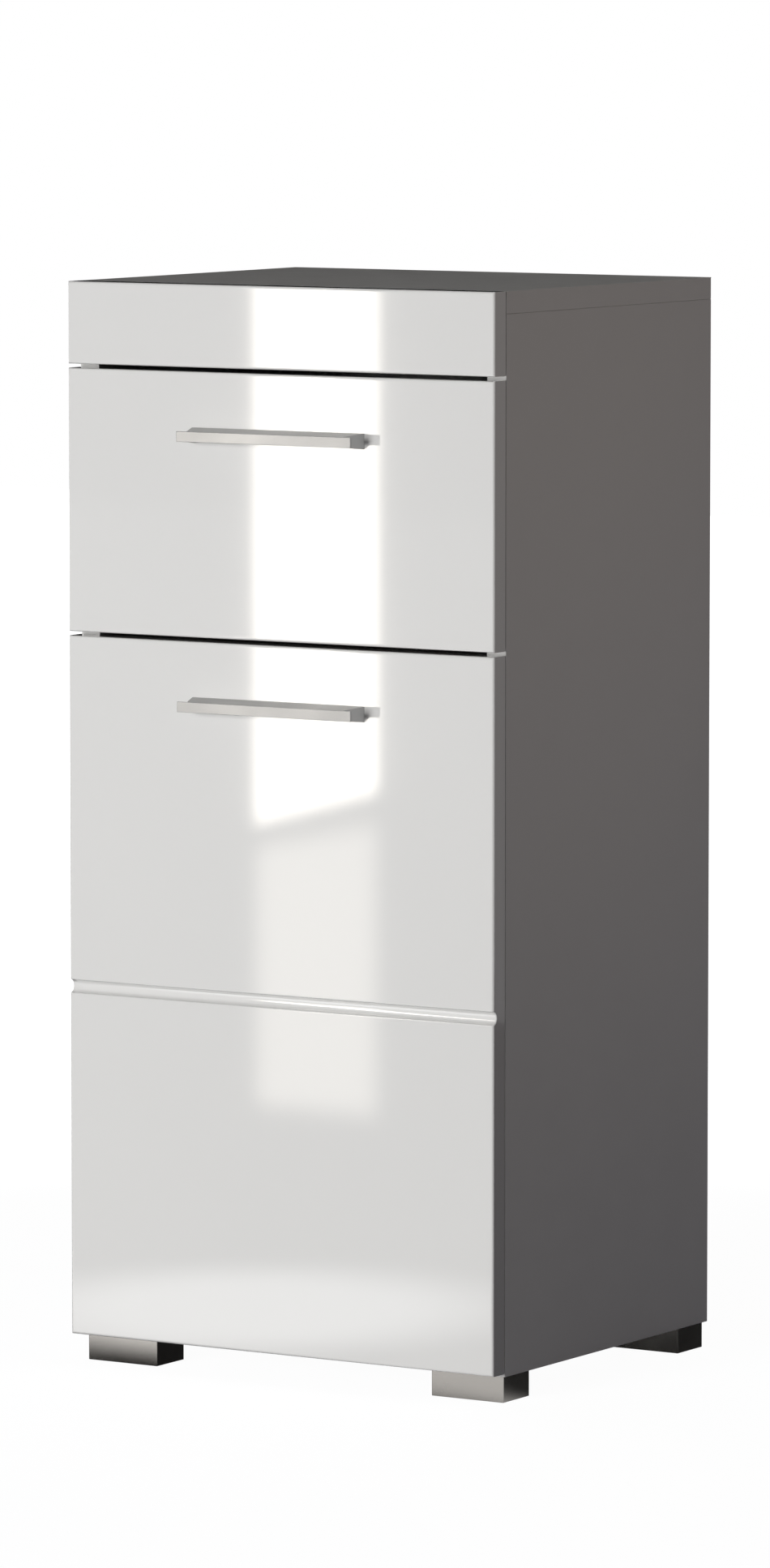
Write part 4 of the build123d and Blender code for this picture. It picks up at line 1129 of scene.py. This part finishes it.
@dataclass
class LightCard:
    """A glowing card with feathered edges, which only mirroring surfaces see."""

    name: str
    width: float
    ends: tuple[float, float]
    slants: tuple[float, float]
    strength: float
    feather: tuple[float, float]
    colour: Colour = (1.0, 0.95, 0.87)
    steps: int = 12

    def sheet(self, foot: Vector, facing: Vector) -> bpy.types.Mesh:
        """The card's grid, with its map from corner to corner.

        Args:
            foot: The point on the floor below its middle.
            facing: The level direction that it faces.

        Returns:
            The mesh.
        """
        across = Vector((facing.y, -facing.x, 0.0))
        shape = bmesh.new()
        bmesh.ops.create_grid(shape, x_segments=self.steps, y_segments=self.steps, size=0.5, calc_uvs=False)
        uv = shape.loops.layers.uv.new("card")
        for face in shape.faces:
            for loop in face.loops:
                loop[uv].uv = (loop.vert.co.x + 0.5, loop.vert.co.y + 0.5)
        for vert in shape.verts:
            side, up = vert.co.x * self.width, vert.co.y + 0.5
            low, high = (end - side * math.tan(math.radians(slant)) for end, slant in zip(self.ends, self.slants))
            vert.co = foot + across * side + Vector((0.0, 0.0, low + (high - low) * up))
        mesh = bpy.data.meshes.new(self.name)
        shape.to_mesh(mesh)
        shape.free()
        return mesh

    def glow(self) -> bpy.types.Material:
        """Light that fades towards the card's edges, on a card that is otherwise clear."""
        material = bpy.data.materials.new(self.name)
        material.use_nodes = True
        board = Board(material.node_tree)
        where = board.add("ShaderNodeUVMap", uv_map="card")
        split = board.add("ShaderNodeSeparateXYZ")
        board.feed(split.inputs[0], where.outputs[0])
        level = self.strength
        for axis, feather in zip("XY", self.feather):
            off = board.math("ABSOLUTE", board.math("SUBTRACT", split.outputs[axis], 0.5))
            fade = board.add("ShaderNodeMapRange", interpolation_type="SMOOTHSTEP")
            for key, value in (("Value", off), ("From Min", 0.5), ("From Max", 0.5 - feather)):
                board.feed(fade.inputs[key], value)
            level = board.math("MULTIPLY", level, fade.outputs["Result"])
        lamp = board.add("ShaderNodeEmission")
        board.feed(lamp.inputs["Color"], (*self.colour, 1.0))
        board.feed(lamp.inputs["Strength"], level)
        both = board.add("ShaderNodeAddShader")
        board.feed(both.inputs[0], lamp.outputs[0])
        board.feed(both.inputs[1], board.add("ShaderNodeBsdfTransparent").outputs[0])
        board.feed(board.add("ShaderNodeOutputMaterial").inputs["Surface"], both.outputs[0])
        return material


@dataclass
class Studio:
    """Pale floor, white surround, cards and screens that the cabinet mirrors, and broad soft lamps."""

    front_y: float
    floor_half: float = 8.0
    camera_at: Colour = (3.2447, -5.2215, 1.0382)
    camera_turn: float = 31.85
    camera_tilt: float = 5.72
    lens: float = 194.47
    ambient: float = 0.078
    ambient_colour: Colour = (1.0, 0.97, 0.94)
    floor_colour: Colour = (0.36, 0.37, 0.40)
    floor_glow: float = 1.18
    floor_white: float = 1.24
    floor_share: float = 0.78
    # Level that reflections see of the floor in its painted shade under and behind the cabinet.
    painted_shade_level: float = 0.02
    # Level of the painted pool of light that reflections see on the floor in front of the cabinet.
    painted_pool_glow: float = 2.9
    card_distance: float = 1.2
    mirrored_x: float = 0.0323
    screen_y: float = 1.7

    def camera(self) -> None:
        """Stand the camera where the photograph was taken from."""
        data = bpy.data.cameras.new("camera")
        data.lens = self.lens
        data.clip_start = 0.1
        data.clip_end = 100.0
        camera = bpy.data.objects.new("camera", data)
        camera.location = self.camera_at
        camera.rotation_euler = (math.radians(90.0 - self.camera_tilt), 0.0, math.radians(self.camera_turn))
        bpy.context.scene.collection.objects.link(camera)
        bpy.context.scene.camera = camera

    def seen(self, board: Board) -> bpy.types.NodeSocket:
        """One where the camera, a reflection or a view through glass looks, and zero for light on the object."""
        path = board.add("ShaderNodeLightPath").outputs
        glass = board.math("MAXIMUM", path["Is Glossy Ray"], path["Is Transmission Ray"])
        return board.math("MAXIMUM", path["Is Camera Ray"], glass)

    def world(self) -> None:
        """White to the camera and in reflections, and a low even light on everything else."""
        world = bpy.data.worlds.new("surround")
        bpy.context.scene.world = world
        world.use_nodes = True
        board = Board(world.node_tree)
        mix = board.add("ShaderNodeMixShader")
        board.feed(mix.inputs[0], self.seen(board))
        lights = ((self.ambient_colour, self.ambient), ((1.0, 1.0, 1.0), 1.0))
        for number, (colour, strength) in enumerate(lights):
            light = board.add("ShaderNodeBackground")
            board.feed(light.inputs["Color"], (*colour, 1.0))
            board.feed(light.inputs["Strength"], strength)
            board.feed(mix.inputs[1 + number], light.outputs[0])
        board.feed(board.add("ShaderNodeOutputWorld").inputs["Surface"], mix.outputs[0])

    def area(self, name: str, at: Colour, towards: Colour, size: tuple[float, float], power: float,
             colour: Colour = (1.0, 1.0, 1.0)) -> None:
        """Hang a soft rectangular lamp that mirrors don't show.

        Args:
            name: Name of the lamp.
            at: Its middle.
            towards: The point it faces.
            size: Width and height.
            power: Watts.
            colour: Its tint.
        """
        data = bpy.data.lights.new(name, "AREA")
        data.shape = "RECTANGLE"
        data.size, data.size_y = size
        data.energy = power
        data.color = colour
        lamp = bpy.data.objects.new(name, data)
        lamp.location = at
        lamp.rotation_euler = (Vector(towards) - Vector(at)).to_track_quat("-Z", "Y").to_euler()
        lamp.visible_glossy = False
        bpy.context.scene.collection.objects.link(lamp)

    def ring(self, board: Board, centre: tuple[float, float], radii: tuple[float, float],
             squeeze: float = 1.0) -> bpy.types.NodeSocket:
        """A factor that goes from zero at the first radius round a point of the floor to one at the second.

        Args:
            board: Where the nodes go.
            centre: The point.
            radii: The two radii.
            squeeze: How much a step along X counts beside one along Y.

        Returns:
            The factor socket.
        """
        place = board.place((squeeze, 1.0, 1.0), (-centre[0] * squeeze, -centre[1], 0.0))
        away = board.vector("LENGTH", place).outputs["Value"]
        factor = board.add("ShaderNodeMapRange", interpolation_type="SMOOTHSTEP")
        for key, value in (("Value", away), ("From Min", radii[0]), ("From Max", radii[1])):
            board.feed(factor.inputs[key], value)
        return factor.outputs["Result"]

    def plane(self, name: str, corners: list[Colour], material: bpy.types.Material) -> bpy.types.Object:
        """Set up a flat sheet of the studio."""
        mesh = bpy.data.meshes.new(name)
        mesh.from_pydata(corners, [], [(0, 1, 2, 3)])
        mesh.materials.append(material)
        sheet = bpy.data.objects.new(name, mesh)
        bpy.context.scene.collection.objects.link(sheet)
        return sheet

    def floor(self) -> None:
        """Pale floor that keeps the cabinet's shadow; in reflections it shows painted shade under and behind the
        cabinet and a painted pool of light in front of it.
        """
        material = bpy.data.materials.new("pale_floor")
        material.use_nodes = True
        board = Board(material.node_tree)
        mirrored = board.add("ShaderNodeLightPath").outputs["Is Glossy Ray"]
        # Inside this ring, reflections see painted shade on the floor, under and behind the cabinet.
        beyond_painted_shade = self.ring(board, (-2.5, 1.096), (1.42, 1.50), 0.303)
        # Inside this ring, reflections see a painted pool of light on the floor in front of the cabinet.
        painted_light_pool = self.ring(board, (-0.2, -0.42), (0.26, 0.10))
        level = board.blend(beyond_painted_shade, self.painted_shade_level, self.floor_glow)
        level = board.blend(painted_light_pool, level, self.painted_pool_glow)
        level = board.blend(mirrored, self.floor_white, level)
        share = board.blend(self.ring(board, (0.0, 0.0), (0.8, 1.6)), self.floor_share, 1.0)
        share = board.blend(mirrored, share, 1.0)
        share = board.math("MULTIPLY", self.seen(board), share)
        lit = board.add("ShaderNodeBsdfDiffuse")
        board.feed(lit.inputs["Color"], (*self.floor_colour, 1.0))
        glow = board.add("ShaderNodeEmission")
        board.feed(glow.inputs["Strength"], level)
        mix = board.add("ShaderNodeMixShader")
        for number, value in enumerate((share, lit.outputs[0], glow.outputs[0])):
            board.feed(mix.inputs[number], value)
        board.feed(board.add("ShaderNodeOutputMaterial").inputs["Surface"], mix.outputs[0])
        half = self.floor_half
        self.plane("floor", [(-half, -half, 0), (half, -half, 0), (half, half, 0), (-half, half, 0)], material)

    def screen(self, name: str, across: tuple[float, float], upright: tuple[float, float], level: float) -> None:
        """Hang an even screen behind the cabinet, which only mirroring surfaces see.

        Args:
            name: Name of the screen.
            across: Its two ends along X.
            upright: Its lower and upper edge.
            level: How brightly it glows.
        """
        material = bpy.data.materials.new(name)
        material.use_nodes = True
        board = Board(material.node_tree)
        glow = board.add("ShaderNodeEmission")
        board.feed(glow.inputs["Strength"], level)
        board.feed(board.add("ShaderNodeOutputMaterial").inputs["Surface"], glow.outputs[0])
        (left, right), (low, high) = across, upright
        corners = [(x, self.screen_y, z) for x, z in ((left, low), (right, low), (right, high), (left, high))]
        self.only_mirrored(self.plane(name, corners, material))

    def only_mirrored(self, sheet: bpy.types.Object) -> None:
        """Hide a sheet from everything but reflections."""
        sheet.visible_camera = False
        sheet.visible_shadow = False
        sheet.visible_diffuse = False

    def cards(self) -> None:
        """Stand the two cards where the camera sees them mirrored in the fronts."""
        seen_point = Vector((self.mirrored_x, self.front_y, 0.0))
        line = seen_point - Vector((self.camera_at[0], self.camera_at[1], 0.0))
        mirrored = Vector((line.x, -line.y, 0.0)).normalized()
        foot = seen_point + mirrored * self.card_distance
        for card in (LightCard("bright_card", 0.122, (0.283, 1.100), (-15.0, 0.0), 8.0, (0.14, 0.03)),
                     LightCard("dim_card", 0.128, (0.018, 0.288), (7.0, -12.0), 2.2, (0.2, 0.12))):
            mesh = card.sheet(foot, -mirrored)
            mesh.materials.append(card.glow())
            sheet = bpy.data.objects.new(card.name, mesh)
            bpy.context.scene.collection.objects.link(sheet)
            self.only_mirrored(sheet)

    def build(self) -> None:
        """Set up the whole studio."""
        bpy.context.scene.view_settings.view_transform = "Standard"
        self.camera()
        self.world()
        self.floor()
        self.cards()
        self.screen("dark_screen", (-3.0, -0.1), (0.0, 3.2), 0.02)
        self.screen("grey_screen", (-0.1, 2.6), (0.0, 0.8), 0.25)
        self.screen("upper_screen", (-0.1, 2.6), (0.8, 1.6), 0.05)
        middle = (0.05, self.front_y, 0.35)
        self.area("front_fill", (-1.1, -4.8, 0.30), middle, (1.5, 0.5), 90.0, (1.0, 0.995, 0.985))
        self.area("upper_fill", (-0.7, -4.6, 1.15), middle, (1.0, 0.9), 92.0, (1.0, 0.995, 0.985))
        self.area("warm_edge", (1.15, -0.05, 0.85), (0.18, 0.0, 0.83), (0.3, 0.4), 1.0, (1.0, 0.82, 0.66))
        self.area("cool_edge", (2.4, 0.6, 0.25), (0.18, 0.0, 0.2), (0.8, 0.4), 0.9, (0.12, 0.35, 1.0))
        self.area("back_fill", (-1.6, 3.6, 0.55), (0.0, 0.16, 0.4), (1.6, 0.5), 60.0)


def main() -> None:
    """Dress the cabinet, sub-assembly by sub-assembly, and set up the studio."""
    logging.basicConfig(level=logging.INFO, format="%(name)s: %(message)s")
    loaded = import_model()
    frame = Frame(loaded["bodies"], loaded["nodes"], loaded["record"])
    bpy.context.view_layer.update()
    fascia_low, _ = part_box("fascia_panel")
    Studio(front_y=fascia_low[1]).build()
    finishes = Finishes(frame)
    finishes.make()
    pins = TurnedPins()
    for kind in (Carcass, CamLocks, Feet, Fronts, Handles, DrawerBox, Runners, Hinges):
        kind(frame, finishes, pins).build()


if __name__ == "__main__":
    main()
